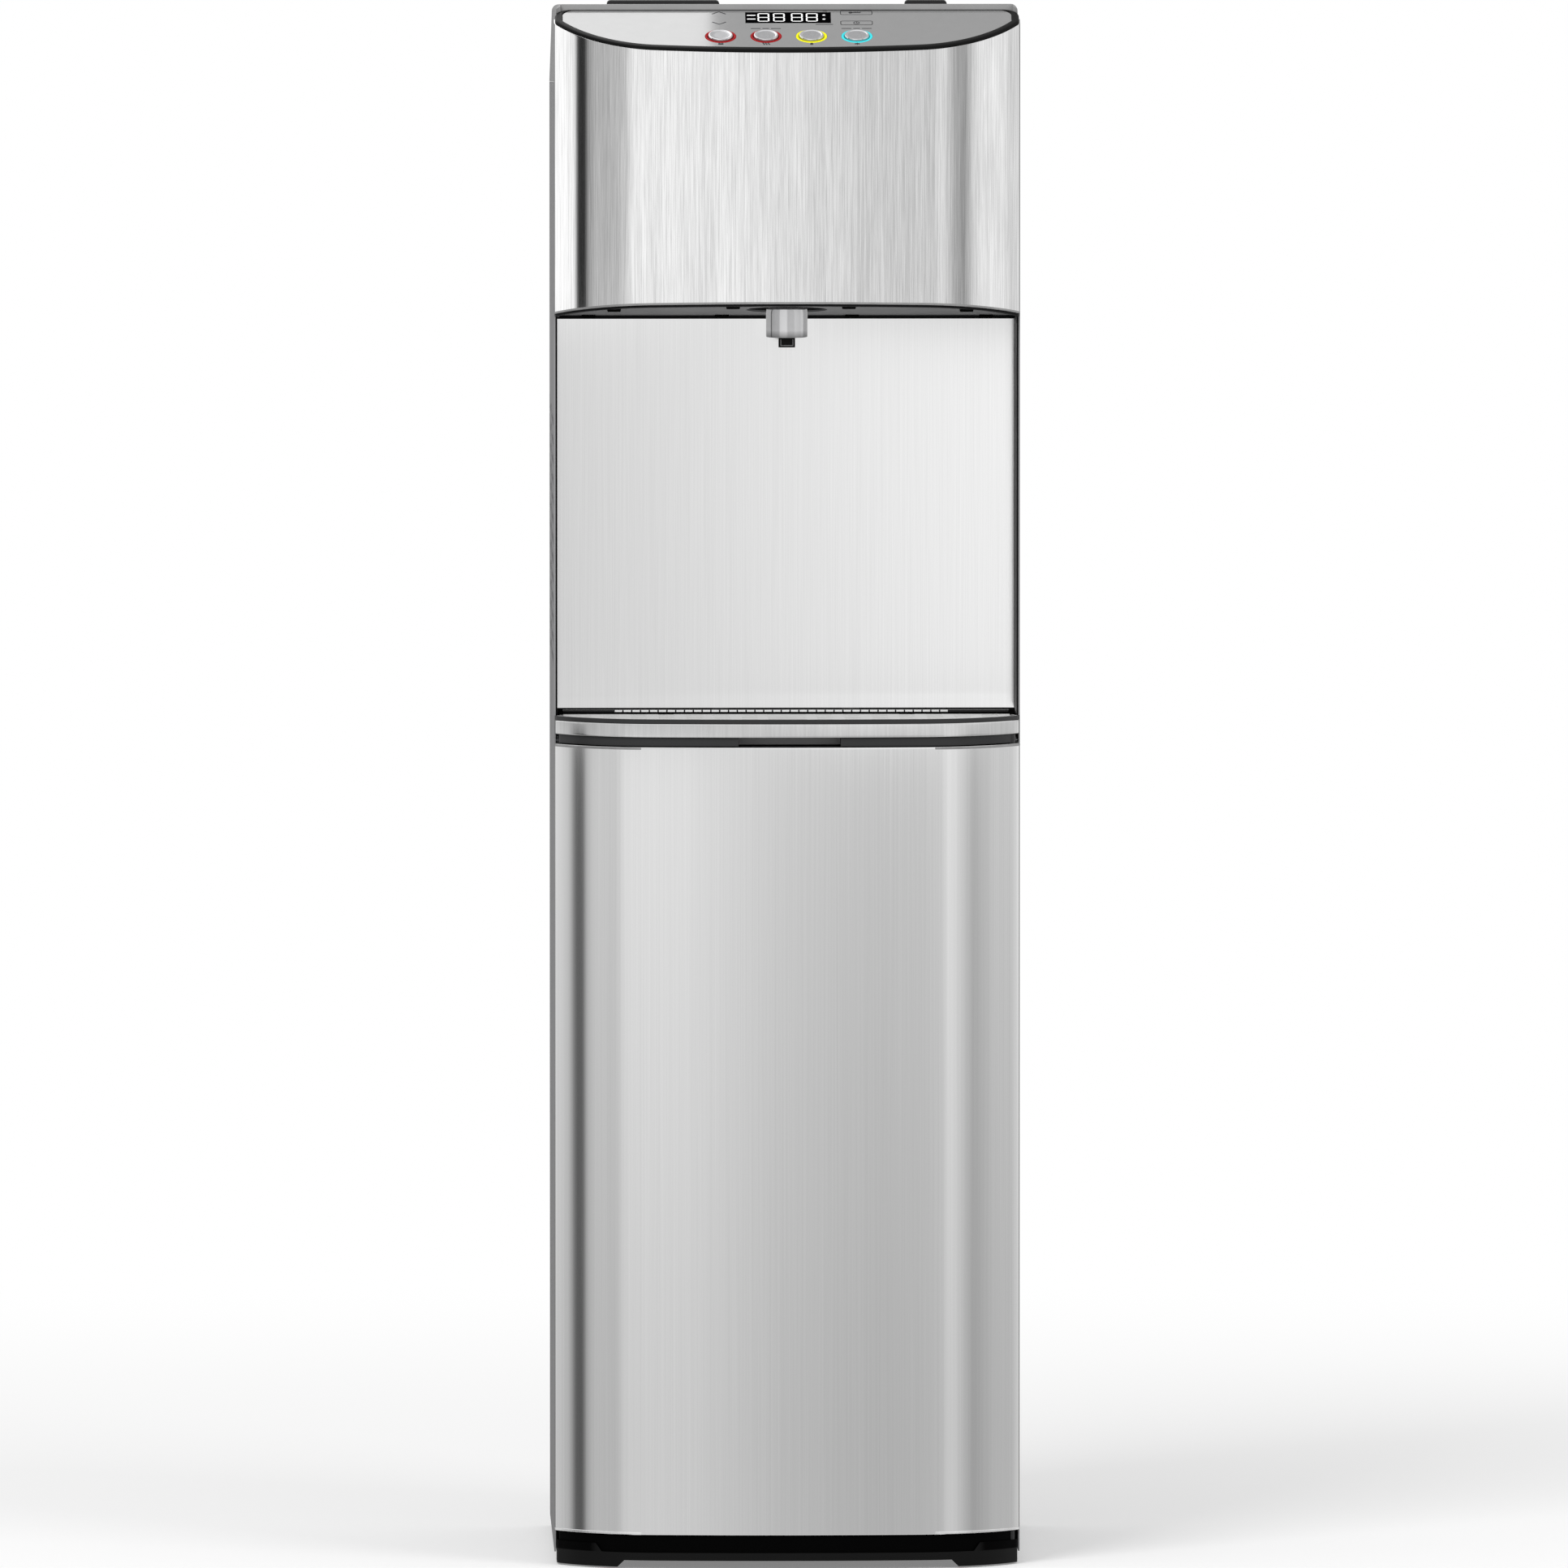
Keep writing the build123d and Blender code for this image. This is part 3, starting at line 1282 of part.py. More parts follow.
write("wall_spacers", wall_spacers.part)
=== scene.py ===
import bpy
import bmesh
import json
import numpy as np
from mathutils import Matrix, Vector

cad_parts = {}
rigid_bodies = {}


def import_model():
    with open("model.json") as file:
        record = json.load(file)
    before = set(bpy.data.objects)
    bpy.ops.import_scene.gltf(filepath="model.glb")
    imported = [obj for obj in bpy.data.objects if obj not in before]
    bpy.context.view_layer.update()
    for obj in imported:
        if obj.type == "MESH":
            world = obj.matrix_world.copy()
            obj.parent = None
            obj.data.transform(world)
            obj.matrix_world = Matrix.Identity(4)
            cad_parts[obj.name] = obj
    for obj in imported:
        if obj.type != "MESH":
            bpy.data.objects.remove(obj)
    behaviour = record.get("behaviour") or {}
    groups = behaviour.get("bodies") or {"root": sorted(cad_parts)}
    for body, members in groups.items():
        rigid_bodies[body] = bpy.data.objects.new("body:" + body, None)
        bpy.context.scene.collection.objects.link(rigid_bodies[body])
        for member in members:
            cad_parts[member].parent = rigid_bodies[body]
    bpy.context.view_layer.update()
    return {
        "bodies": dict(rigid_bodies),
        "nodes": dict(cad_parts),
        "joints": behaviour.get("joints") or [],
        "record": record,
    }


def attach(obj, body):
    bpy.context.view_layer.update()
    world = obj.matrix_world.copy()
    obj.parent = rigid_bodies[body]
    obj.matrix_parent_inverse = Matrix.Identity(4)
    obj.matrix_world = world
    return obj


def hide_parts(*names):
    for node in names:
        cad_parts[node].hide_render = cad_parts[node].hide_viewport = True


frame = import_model()
nodes = frame["nodes"]
print("frame loaded:", len(nodes), "nodes")

mm = 0.001

# the bowed front line shared by door, tray band, fascia, rim and plinth
frontLine = {
    "frontY": -180.0,
    "bowRadius": 994.0,
    "halfChord": 88.0,
    "cornerRadius": 90.0,
    "noseRadius": 8.0,
    "halfWidth": 155.0,
}


def addObject(name, data):
    made = bpy.data.objects.new(name, data)
    bpy.context.scene.collection.objects.link(made)
    return made


def addMesh(name, points, faces, materials):
    # a new object from points in metres
    mesh = bpy.data.meshes.new(name)
    mesh.from_pydata(np.asarray(points, float).tolist(), [], faces)
    for material in materials:
        mesh.materials.append(material)
    return addObject(name, mesh)


def aim(thing, place, target):
    # stand a camera or lamp at place and turn it to the target
    thing.location = place
    thing.rotation_mode = "QUATERNION"
    thing.rotation_quaternion = (Vector(target) - Vector(place)).to_track_quat("-Z", "Y")


# camera: a very long lens, slightly above and to the left of the cooler

shot = {
    "place": (-0.41, -24.937, 2.2123),
    "target": (0.000109, 0.0, 0.51196),
    "lens": 857.4,
    "sensor": 36.0,
    "nearest": 1.0,
    "farthest": 80.0,
    "pitch": 3.9,
}


def makeCamera():
    data = bpy.data.cameras.new("photoCamera")
    data.lens, data.sensor_width = shot["lens"], shot["sensor"]
    data.clip_start, data.clip_end = shot["nearest"], shot["farthest"]
    camera = addObject("photoCamera", data)
    aim(camera, shot["place"], shot["target"])
    bpy.context.scene.camera = camera


makeCamera()


# material helpers

def colour(levels):
    # linear colour with alpha from one sRGB level for a grey, or from three
    s = np.broadcast_to(levels, 3) / 255.0
    linear = np.where(s <= 0.04045, s / 12.92, ((s + 0.055) / 1.055) ** 2.4)
    return tuple(linear.tolist()) + (1.0,)


def scaled(tone, share):
    return tuple(c * share for c in tone[:3]) + (1.0,)


class Nodes:
    # short calls for the nodes of one material or world

    def __init__(self, owner, clear=True):
        owner.use_nodes = True
        self.owner = owner
        self.tree = owner.node_tree
        if clear:
            self.tree.nodes.clear()

    def feed(self, value, socket):
        # a socket is joined to another node's output or set to a value
        if isinstance(value, bpy.types.NodeSocket):
            self.tree.links.new(value, socket)
        else:
            socket.default_value = value

    def node(self, kind, inputs=None, **settings):
        made = self.tree.nodes.new("ShaderNode" + kind)
        for key, value in settings.items():
            setattr(made, key, value)
        for socket, value in (inputs or {}).items():
            self.feed(value, made.inputs[socket])
        return made

    def maths(self, kind, *values):
        return self.node("Math", dict(enumerate(values)), operation=kind).outputs["Value"]

    def mixed(self, *parts):
        # sum of (value, weight) pairs
        total = None
        for value, weight in parts:
            part = self.maths("MULTIPLY", value, weight)
            total = part if total is None else self.maths("ADD", total, part)
        return total

    def ranged(self, value, low, high, first=0.0, last=1.0, **settings):
        # value between low and high, spread from first to last and held there
        inputs = {"Value": value, "From Min": low, "From Max": high, "To Min": first, "To Max": last}
        return self.node("MapRange", inputs, **settings).outputs["Result"]

    def blend(self, share, first, last):
        # colour between first and last
        return self.node("Mix", {"Factor": share, 6: first, 7: last}, data_type="RGBA").outputs[2]

    def place(self):
        # the object's own coordinates, in metres
        return self.node("TexCoord").outputs["Object"]

    def part(self, axis):
        return self.node("SeparateXYZ", {"Vector": self.place()}).outputs[axis]

    def scaledPlace(self, scale):
        return self.node("Mapping", {"Vector": self.place(), "Scale": scale}).outputs["Vector"]

    def noise(self, size, detail=3.0, rough=0.5):
        # noise whose grains measure size, one length or three in millimetres
        where = self.scaledPlace([1000.0 / s for s in np.broadcast_to(size, 3)])
        inputs = {"Vector": where, "Scale": 1.0, "Detail": detail, "Roughness": rough}
        return self.node("TexNoise", inputs).outputs["Fac"]

    def cells(self, perMetre):
        # irregular cells, so many to the metre
        return self.node("TexVoronoi", {"Vector": self.scaledPlace((perMetre,) * 3), "Scale": 1.0}).outputs

    def glow(self, light, strength):
        return self.node("Emission", {"Color": light, "Strength": strength}).outputs["Emission"]

    def finish(self, surface, kind="OutputMaterial"):
        self.node(kind, {"Surface": surface})
        return self.owner


class Shade(Nodes):
    # a material on its Principled shader

    def __init__(self, name, tone, rough, metal=0.0, spec=0.5):
        super().__init__(bpy.data.materials.new(name), False)
        self.shader = self.tree.nodes["Principled BSDF"]
        self.tone = tone
        self.paint(tone, rough, spec)
        self.shader.inputs["Metallic"].default_value = metal

    def paint(self, tone=None, rough=None, spec=None, normal=None):
        sockets = {"Base Color": tone, "Roughness": rough, "Specular IOR Level": spec, "Normal": normal}
        for socket, value in sockets.items():
            if value is not None:
                self.feed(value, self.shader.inputs[socket])

    def varied(self, share, first, last):
        # the material's tone times a factor between first and last
        return self.blend(share, scaled(self.tone, first), scaled(self.tone, last))

    def relief(self, *heights):
        # bump from (height, depth in millimetres) pairs, one on top of the other
        below = {}
        for height, depth in heights:
            bump = self.node("Bump", {"Strength": 1.0, "Distance": depth * mm, "Height": height, **below})
            below = {"Normal": bump.outputs["Normal"]}
        self.paint(normal=below["Normal"])


# finishes

def brushedSteel(name, tone, rough, width, length, swing, depth, spread):
    # vertical brushing: streaks, a finer and shorter grain on them and a slow drift of tone
    s = Shade(name, tone, rough, 1.0)
    streak = s.noise((width, width, length), 4.0, 0.6)
    fine = s.noise((width * 0.32, width * 0.32, length * 0.35), 3.0, 0.6)
    drift = s.noise((width * 16, width * 16, length * 4), 2.0, 0.5)
    mixed = s.mixed((streak, 0.55), (fine, 0.30), (drift, 0.15))
    share = s.ranged(mixed, 0.5 - spread, 0.5 + spread)
    s.paint(s.varied(share, 1.0 - swing, 1.0 + swing * 0.8),
            s.ranged(fine, 0.3, 0.7, rough * 0.8, rough * 1.25))
    s.relief((streak, depth), (fine, depth * 0.4))
    return s.owner


def mouldedPlastic(name, tone, rough, grain=0.35, depth=0.012, mottle=0.05, spec=0.5):
    # fine spark-eroded texture with a slow mottle of tone and gloss
    s = Shade(name, tone, rough, spec=spec)
    fine = s.noise(grain, 3.0, 0.6)
    slow = s.noise(26.0, 3.0, 0.55)
    share = s.ranged(s.mixed((fine, 0.4), (slow, 0.6)), 0.35, 0.65)
    s.paint(s.varied(share, 1.0 - mottle, 1.0 + mottle), s.ranged(slow, 0.3, 0.7, rough * 0.92, rough * 1.1))
    s.relief((fine, depth))
    return s.owner


def shadeEdgedPlastic(name, tone, rough, border, back, width=0.0):
    # moulded plastic with painted shade: it turns dark and dull behind one depth and beyond one half width
    soft = 0.5 * mm
    s = Shade(name, tone, rough)
    fine = s.noise(0.5, 3.0, 0.6)
    slow = s.noise(26.0, 3.0, 0.55)
    wide = s.ranged(s.maths("ABSOLUTE", s.part("X")), width - soft, width)
    edge = s.maths("MULTIPLY", s.ranged(s.part("Y"), back, back + soft), wide)
    plain = s.varied(s.ranged(slow, 0.35, 0.65), 0.95, 1.05)
    # painted shade: dark tone and no gloss behind the depth and beyond the half width
    s.paint(s.blend(edge, plain, colour(border)), s.ranged(slow, 0.3, 0.7, rough * 0.92, rough * 1.1),
            s.ranged(edge, 0.0, 1.0, 0.5, 0.0))
    s.relief((fine, 0.006))
    return s.owner


def paintedSteel(name, tone, rough, peel=1.6, depth=0.02):
    # sprayed paint: a soft peel, dust-fine grain and a slow drift of tone
    s = Shade(name, tone, rough)
    skin = s.noise(peel, 2.0, 0.4)
    fine = s.noise(0.25, 2.0, 0.5)
    slow = s.noise((60.0, 60.0, 90.0), 3.0, 0.5)
    s.paint(s.varied(s.ranged(slow, 0.3, 0.7), 0.95, 1.05),
            s.ranged(fine, 0.25, 0.75, rough * 0.85, rough * 1.15))
    s.relief((skin, depth), (fine, depth * 0.3))
    return s.owner


def satinMetal(name, tone, rough, size=0.6, depth=0.004, metal=1.0, drift=1.0, foot=None):
    # Plated, blasted or metal-coated surface with a fine even grain and a slow drift of tone.
    # A foot is painted shade along the lower edge: two heights in metres and the share of the tone that is
    # left at the lower one.
    s = Shade(name, tone, rough, metal)
    fine = s.noise(size, 3.0, 0.6)
    slow = s.noise(9.0, 3.0, 0.55)
    plain = s.varied(s.ranged(slow, 0.3, 0.7), 1 - 0.1 * drift, 1 + 0.06 * drift)
    # painted shade along the lower edge, darkest at the lower height
    if foot:
        low, high, share = foot
        plain = s.blend(s.ranged(s.part("Z"), low, high), scaled(tone, share), plain)
    s.paint(plain, s.ranged(fine, 0.3, 0.7, rough * 0.8, rough * 1.25))
    s.relief((fine, depth))
    return s.owner


# painted shade on the neck above the plinth, under the door: it starts so high and so far behind the plinth's
# front, in metres
neckShadePlace = {"step": (0.0019, 0.0024), "height": (0.0108, 0.0111), "tone": 0.3, "spec": (0.14, 0.02)}


def plinthPlasticNeckShade(name, tone, rough):
    # Moulded black with painted shade on the neck under the door: darker and duller there. The distance
    # behind the plinth's front is depth - x^2 / (2 * bow radius) - (x beyond the bow)^2 / (2 * corner
    # radius).
    s = Shade(name, tone, rough)
    wide = s.maths("ABSOLUTE", s.part("X"))
    beyond = s.maths("MAXIMUM", s.maths("SUBTRACT", wide, frontLine["halfChord"] * mm), 0.0)
    bow = s.maths("DIVIDE", s.maths("MULTIPLY", wide, wide), 2 * frontLine["bowRadius"] * mm)
    corner = s.maths("DIVIDE", s.maths("MULTIPLY", beyond, beyond), 2 * frontLine["cornerRadius"] * mm)
    depth = s.maths("ADD", s.part("Y"), -frontLine["frontY"] * mm)
    step = s.maths("SUBTRACT", s.maths("SUBTRACT", depth, bow), corner)
    above = s.ranged(s.part("Z"), *neckShadePlace["height"])
    neck = s.maths("MULTIPLY", s.ranged(step, *neckShadePlace["step"]), above)
    fine = s.noise(0.5, 3.0, 0.6)
    plain = s.varied(s.ranged(fine, 0.3, 0.7), 0.85, 1.15)
    # painted shade: the neck takes a darker tone and less gloss
    s.paint(s.blend(neck, plain, scaled(tone, neckShadePlace["tone"])),
            spec=s.ranged(neck, 0.0, 1.0, *neckShadePlace["spec"]))
    s.relief((fine, 0.02))
    return s.owner


def zincSheet(name, tone, rough):
    # spangled zinc coat: cells of slightly different tone
    s = Shade(name, tone, rough, 1.0)
    chance = s.node("SeparateColor", {"Color": s.cells(110.0)["Color"]}).outputs
    s.paint(s.varied(chance["Red"], 0.82, 1.08),
            s.ranged(chance["Green"], 0.0, 1.0, rough * 0.8, rough * 1.2))
    s.relief((s.noise(0.5, 2.0, 0.5), 0.004))
    return s.owner


def foamBeads(name, tone, rough):
    # pressed foam: rounded beads with dark joints
    s = Shade(name, tone, rough)
    distance = s.cells(300.0)["Distance"]
    s.paint(s.varied(s.ranged(distance, 0.3, 0.8), 1.0, 0.82))
    s.relief((s.ranged(distance, 0.0, 0.9, 1.0, 0.0), 0.35))
    return s.owner


def trackedBoard(name, tone, rough, track):
    # solder mask over tracks: lighter lines on a dark ground
    s = Shade(name, tone, rough)
    tones = {"Color1": tone, "Color2": scaled(tone, 0.85), "Mortar": colour(track)}
    s.paint(s.node("TexBrick", {"Vector": s.place(), "Scale": 160.0, **tones}).outputs["Color"])
    s.relief((s.noise(0.8), 0.01))
    return s.owner


def litRing(name, tone, strength):
    # translucent ring with a lamp behind it; the light is a little uneven round it
    s = Shade(name, tone, 0.45, spec=0.08)
    s.paint(s.varied(s.ranged(s.noise(6.0, 2.0, 0.5), 0.3, 0.7), 0.9, 1.0))
    s.shader.inputs["Emission Color"].default_value = tone
    s.shader.inputs["Emission Strength"].default_value = strength
    s.relief((s.noise(0.5), 0.006))
    return s.owner


# For each maker its finishes: sRGB levels, roughness (a lit ring's strength) and then what the
# maker takes, with grains and depths in mm. Brushed steel takes one streak's width and length, the
# swing of tone, the depth of the grain and how far noise strays from its middle before the tone
# reaches its ends; metal its grain, depth, metal share, drift and a foot of painted shade; paint its
# peel and depth; plastic its grain, depth, mottle and gloss; shade-edged plastic the level and place
# of its painted shade.
recipes = {
    brushedSteel: {
        "doorSteel": (232, 0.11, 1.1, 420.0, 0.04, 0.0005, 0.14),
        "fasciaSteel": (234, 0.075, 0.75, 60.0, 0.20, 0.004, 0.10),
        "plateSteel": (232, 0.10, 0.8, 160.0, 0.04, 0.0006, 0.14),
        "bandSteel": (214, 0.07, 2.2, 60.0, 0.07, 0.0002, 0.12),
    },
    satinMetal: {
        # hems: painted shade in grey and a painted highlight in near white
        "rolledHem": (170, 0.42),
        "brightHem": (250, 0.3),
        "panelFilm": (178, 0.14, 0.4, 0.0004, 0.8, 0.2),
        # the spout, with painted shade along its lower edge
        "spoutSatin": ((218, 218, 219), 0.1, (0.5, 0.5, 3.0), 0.001, 0.8, 0.3, (0.8192, 0.8232, 0.42)),
        "keySilver": ((190, 190, 192), 0.3, 0.5, 0.0005, 0.9, 0.2),
        "keyEdge": ((218, 218, 220), 0.18, 0.8, 0.0005),
        "tankSteel": (205, 0.3, (0.4, 0.4, 14.0)),
        "heaterBand": (196, 0.35),
        "copperTube": ((218, 148, 112), 0.3),
        "pinSteel": (206, 0.25),
    },
    paintedSteel: {
        "cabinetGrey": ((132, 132, 133), 0.7),
        "rearGrey": ((112, 113, 114), 0.6),
        "compressorBlack": ((26, 26, 28), 0.3, 2.5, 0.05),
        "coilBlack": ((24, 24, 25), 0.35, 1.2, 0.03),
    },
    mouldedPlastic: {
        "lidGrey": (146, 0.5, 0.4, 0.015),
        "blackRim": ((24, 24, 25), 0.3, 0.5, 0.004),
        "beadBlack": (13, 0.35, 0.5, 0.003, 0.1, 0.08),
        "blackMoulding": ((26, 26, 27), 0.42, 0.4, 0.014, 0.12),
        "linerBlack": ((12, 12, 13), 0.5, 0.4, 0.012, 0.12, 0.08),
        "shelfBlack": ((42, 42, 43), 0.3, 0.4, 0.010, 0.08, 0.3),
        # painted light: the door caps are a lighter grey so the shaded notch above the door reads lighter
        "pocketGrey": ((84, 84, 85), 0.5, 0.4, 0.014, 0.1),
        "canopyGrey": ((98, 98, 99), 0.5, 0.4, 0.015, 0.06),
        "dashSilver": (252, 0.4, 0.5, 0.004, 0.02),
        "displayBlack": ((5, 5, 6), 0.2, 0.8, 0.0006, 0.05, 0.0),
        "rubberBlack": (28, 0.75, 0.5, 0.03, 0.1),
        "linerGrey": ((172, 172, 173), 0.45, 0.5, 0.012),
        "valveWhite": ((226, 226, 220), 0.4, 0.4, 0.008, 0.03),
        "hoseClear": ((230, 230, 226), 0.3, 0.6, 0.01, 0.04),
        "printGrey": ((58, 58, 60), 0.5, 0.3, 0.001, 0.05, 0.1),
        # painted highlight of the nozzle's bevel
        "frameGrey": ((132, 132, 133), 0.4, 0.4, 0.002),
        "wellBlack": (5, 0.7, 0.4, 0.01, 0.1, 0.03),
    },
    plinthPlasticNeckShade: {
        # the base, with painted shade on its neck
        "baseBlack": (10, 0.5),
    },
    shadeEdgedPlastic: {
        # a dark strip on the grille's rear, partly a wider black ledge and partly painted shade at the back
        # of the alcove; painted shade on the tray's side rims beside the alcove walls
        "grilleGrey": ((196, 196, 195), 0.36, 14, -0.102),
        "trayRim": ((24, 24, 25), 0.3, 12, -0.13, 0.1489),
    },
    zincSheet: {
        "deckZinc": ((190, 192, 196), 0.4),
    },
    foamBeads: {
        "foamWhite": ((236, 236, 234), 0.85),
    },
    trackedBoard: {
        "boardGreen": ((22, 84, 46), 0.35, (44, 120, 70)),
    },
    litRing: {
        "ringRed": ((160, 4, 12), 0.12),
        "ringYellow": ((242, 238, 10), 0.2),
        "ringCyan": ((64, 220, 228), 0.2),
        "digitWhite": (240, 0.25),
    },
}
finishes = {name: make(name, colour(tone), *facts)
            for make, rows in recipes.items() for name, (tone, *facts) in rows.items()}

nodeFinish = {
    "doorSteel": "door_skin",
    "fasciaSteel": "upper_fascia",
    "plateSteel": "alcove_plate",
    "bandSteel": "tray_band",
    "cabinetGrey": "side_panel_left side_panel_right",
    "rearGrey": "rear_panel",
    "lidGrey": "top_cover",
    "panelFilm": "control_panel",
    "blackRim": "rocker_light rocker_hot rocker_cold",
    "beadBlack": "panel_rim spout_nozzle",
    "blackMoulding": "front_posts bottle_plate probe_hanger hinge_pins condenser_brackets power_inlet "
                     "switch_housing drain_cap wall_spacers",
    "linerBlack": "alcove_liner fascia_carrier",
    "shelfBlack": "tray_shelf",
    # painted light on the door caps
    "pocketGrey": "door_caps",
    "baseBlack": "base",
    "canopyGrey": "canopy_plate",
    "grilleGrey": "drip_grille",
    "trayRim": "drip_tray",
    "spoutSatin": "spout_shell",
    "keySilver": "button_lock button_hot button_room button_cold",
    "displayBlack": "display_window",
    "rubberBlack": "foot_pads door_gasket compressor_mounts",
    "linerGrey": "door_liner",
    "deckZinc": "mid_deck tank_shelf",
    "tankSteel": "cold_tank hot_tank",
    "heaterBand": "tank_heater",
    "foamWhite": "tank_insulation",
    "compressorBlack": "compressor",
    "valveWhite": "bottle_probe dispense_manifold solenoid_valves water_pump drain_outlet",
    "hoseClear": "water_lines",
    "copperTube": "refrigerant_line",
    "coilBlack": "condenser_coil condenser_wires",
    "boardGreen": "control_board power_board",
    "ringRed": "button_rings",
}
for finish, names in nodeFinish.items():
    for name in names.split():
        held = nodes[name].data.materials
        if len(held) == 0:
            held.append(finishes[finish])
        for slot in range(len(held)):
            held[slot] = finishes[finish]
print("finishes on the nodes")


# mesh helpers; every shape is worked out in millimetres and stored in metres

def makePiece(name, shape, finish, body, replaced=(), angle=32.0, faceFinish=None):
    # a shape is its points and faces; bends under the angle are shaded smooth
    points, faces = shape
    names = [finish] if isinstance(finish, str) else finish
    piece = addMesh(name, np.asarray(points, float) * mm, faces, [finishes[one] for one in names])
    mesh = piece.data
    if faceFinish is not None:
        mesh.polygons.foreach_set("material_index", np.asarray(faceFinish, np.int32))
    work = bmesh.new()
    work.from_mesh(mesh)
    bmesh.ops.remove_doubles(work, verts=work.verts, dist=1e-7)
    bmesh.ops.recalc_face_normals(work, faces=work.faces)
    work.to_mesh(mesh)
    work.free()
    mesh.shade_smooth()
    mesh.set_sharp_from_angle(angle=np.radians(angle))
    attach(piece, body)
    if replaced:
        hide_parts(*replaced)


def gridFaces(rows, columns, loopRows=False, loopColumns=False):
    # quads between neighbours of a rows by columns grid of points
    r = np.arange(rows if loopRows else rows - 1)[:, None]
    c = np.arange(columns if loopColumns else columns - 1)[None, :]
    r2, c2 = (r + 1) % rows, (c + 1) % columns
    quads = np.stack([r * columns + c, r * columns + c2, r2 * columns + c2, r2 * columns + c], -1)
    return quads.reshape(-1, 4).tolist()


def loft(rings, closed=False):
    # Rings of as many points each, joined one after the other. The last is joined to the first
    # when closed; otherwise both ends get a face.
    rings = np.asarray(rings, float)
    rows, columns = rings.shape[:2]
    faces = gridFaces(rows, columns, closed, True)
    if not closed:
        faces += [list(range(columns)), list(range((rows - 1) * columns, rows * columns))]
    return rings.reshape(-1, 3), faces


def gather(shapes):
    # several (points, faces) shapes as one
    points, faces, count = [], [], 0
    for p, f in shapes:
        points.append(p)
        faces += [[i + count for i in one] for one in f]
        count += len(p)
    return np.concatenate(points), faces


def standing(x, depth, z):
    # points at x and z, so far behind the foremost line of the front
    return np.stack(np.broadcast_arrays(x, depth + frontLine["frontY"], z), -1)


def spin(profile, count):
    # a profile of (radius, lift) points turned once round: its offsets sideways, back and up
    turn = np.linspace(0, 2 * np.pi, count, endpoint=False)[:, None]
    r, lift = np.asarray(profile, float).T[:, None]
    return r * np.cos(turn), r * np.sin(turn), lift, gridFaces(count, len(profile), True)


def softStep(share):
    # smooth step from 0 to 1: share^2 * (3 - 2 * share)
    share = np.clip(share, 0, 1)
    return share * share * (3 - 2 * share)


def arc(centre, radius, first, last, count):
    # one arc of the front line
    return np.array([(*centre, radius, angle) for angle in np.linspace(first, last, count)])


def frontStations(back=None, rearCorner=0.0):
    # Points of the front line as (centre x, centre depth, radius, angle): a wide arc, two
    # corner arcs and two noses, tangent to each other. A point lies at centre + (radius -
    # inset) * (sin angle, -cos angle). The sides run straight back from the noses to a depth,
    # round a rear corner where its radius is given.
    f = frontLine
    bow = np.arcsin(f["halfChord"] / f["bowRadius"])
    run = f["halfWidth"] - f["noseRadius"] - f["halfChord"] + f["cornerRadius"] * np.sin(bow)
    end = np.arcsin(run / (f["cornerRadius"] - f["noseRadius"]))
    place, radius = np.array([0.0, f["bowRadius"]]), f["bowRadius"]
    arcs = [arc(place, radius, 0.0, bow, 48)]
    for name, first, last, count in (("cornerRadius", bow, end, 80), ("noseRadius", end, np.pi / 2, 32)):
        place = place + (radius - f[name]) * np.array([np.sin(first), -np.cos(first)])
        radius = f[name]
        arcs.append(arc(place, radius, first, last, count)[1:])
    if rearCorner:
        centre = (f["halfWidth"] - rearCorner, back - rearCorner)
        arcs.append(arc(centre, rearCorner, np.pi / 2, np.pi, 14))
    elif back is not None:
        arcs.append(arcs[-1][-1:] * (1, 0, 1, 1) + (0, back, 0, 0))
    half = np.concatenate(arcs)
    other = half[1:][::-1] * np.array([-1.0, 1.0, 1.0, -1.0])
    return np.concatenate([other, half])


def carryAlong(stations, inset, height, slope=0.0, closed=False):
    # A profile of insets and heights carried along the stations. Height may lean with depth:
    # z = height + slope * depth.
    centreX, centreD, radius, angle = (column[:, None] for column in stations.T)
    x = centreX + (radius - inset) * np.sin(angle)
    depth = centreD - (radius - inset) * np.cos(angle)
    return loft(standing(x, depth, height + slope * depth), closed)


def sheetLoop(facts):
    # Outline of a sheet's edge-on section: outer face at inset 0, inner face at inset sheet,
    # with a quarter roll at each outer corner and small rounds inside. A point just past each
    # roll holds the face between them flat.
    low, high, sheet, roll = (facts[key] for key in ("low", "high", "sheet", "roll"))
    rollHigh, past = facts.get("rollHigh", roll), 0.6
    held = facts.get("held", past)
    small = min(0.25, sheet * 0.4)
    quarter = np.linspace(0, np.pi / 2, 6)
    out, up = 1 - np.sin(quarter), 1 - np.cos(quarter)
    inset = [roll * out, [0.0, 0.0], rollHigh * up, sheet - small * out, sheet - small * up]
    height = [low + roll * up, [low + roll + held, high - rollHigh - past],
              high - rollHigh * out, high - small * up, low + small * out]
    return np.concatenate(inset), np.concatenate(height)


print("making the bowed sheets")

doorSheet = {"low": 22.9, "high": 548.5, "sheet": 0.8, "back": 46.5, "roll": 0.7}
makePiece("doorSheet", carryAlong(frontStations(doorSheet["back"]), *sheetLoop(doorSheet)),
          "doorSteel", "door", ["door_skin"])

# the band draws in towards its sides by a smooth step of the front line's angle
bandSheet = {
    "low": 554.9, "high": 564.1, "sheet": 1.0, "back": 46.5, "roll": 0.8, "drawn": 0.9, "drawnFrom": 62.0,
}
inset, height = sheetLoop(bandSheet)
stations = frontStations(bandSheet["back"])
reach = np.abs(np.degrees(stations[:, 3:])) - bandSheet["drawnFrom"]
drawn = bandSheet["drawn"] * softStep(reach / (90 - bandSheet["drawnFrom"]))
makePiece("trayBandSheet", carryAlong(stations, inset + drawn, height),
          "bandSteel", "tray", ["tray_band"])
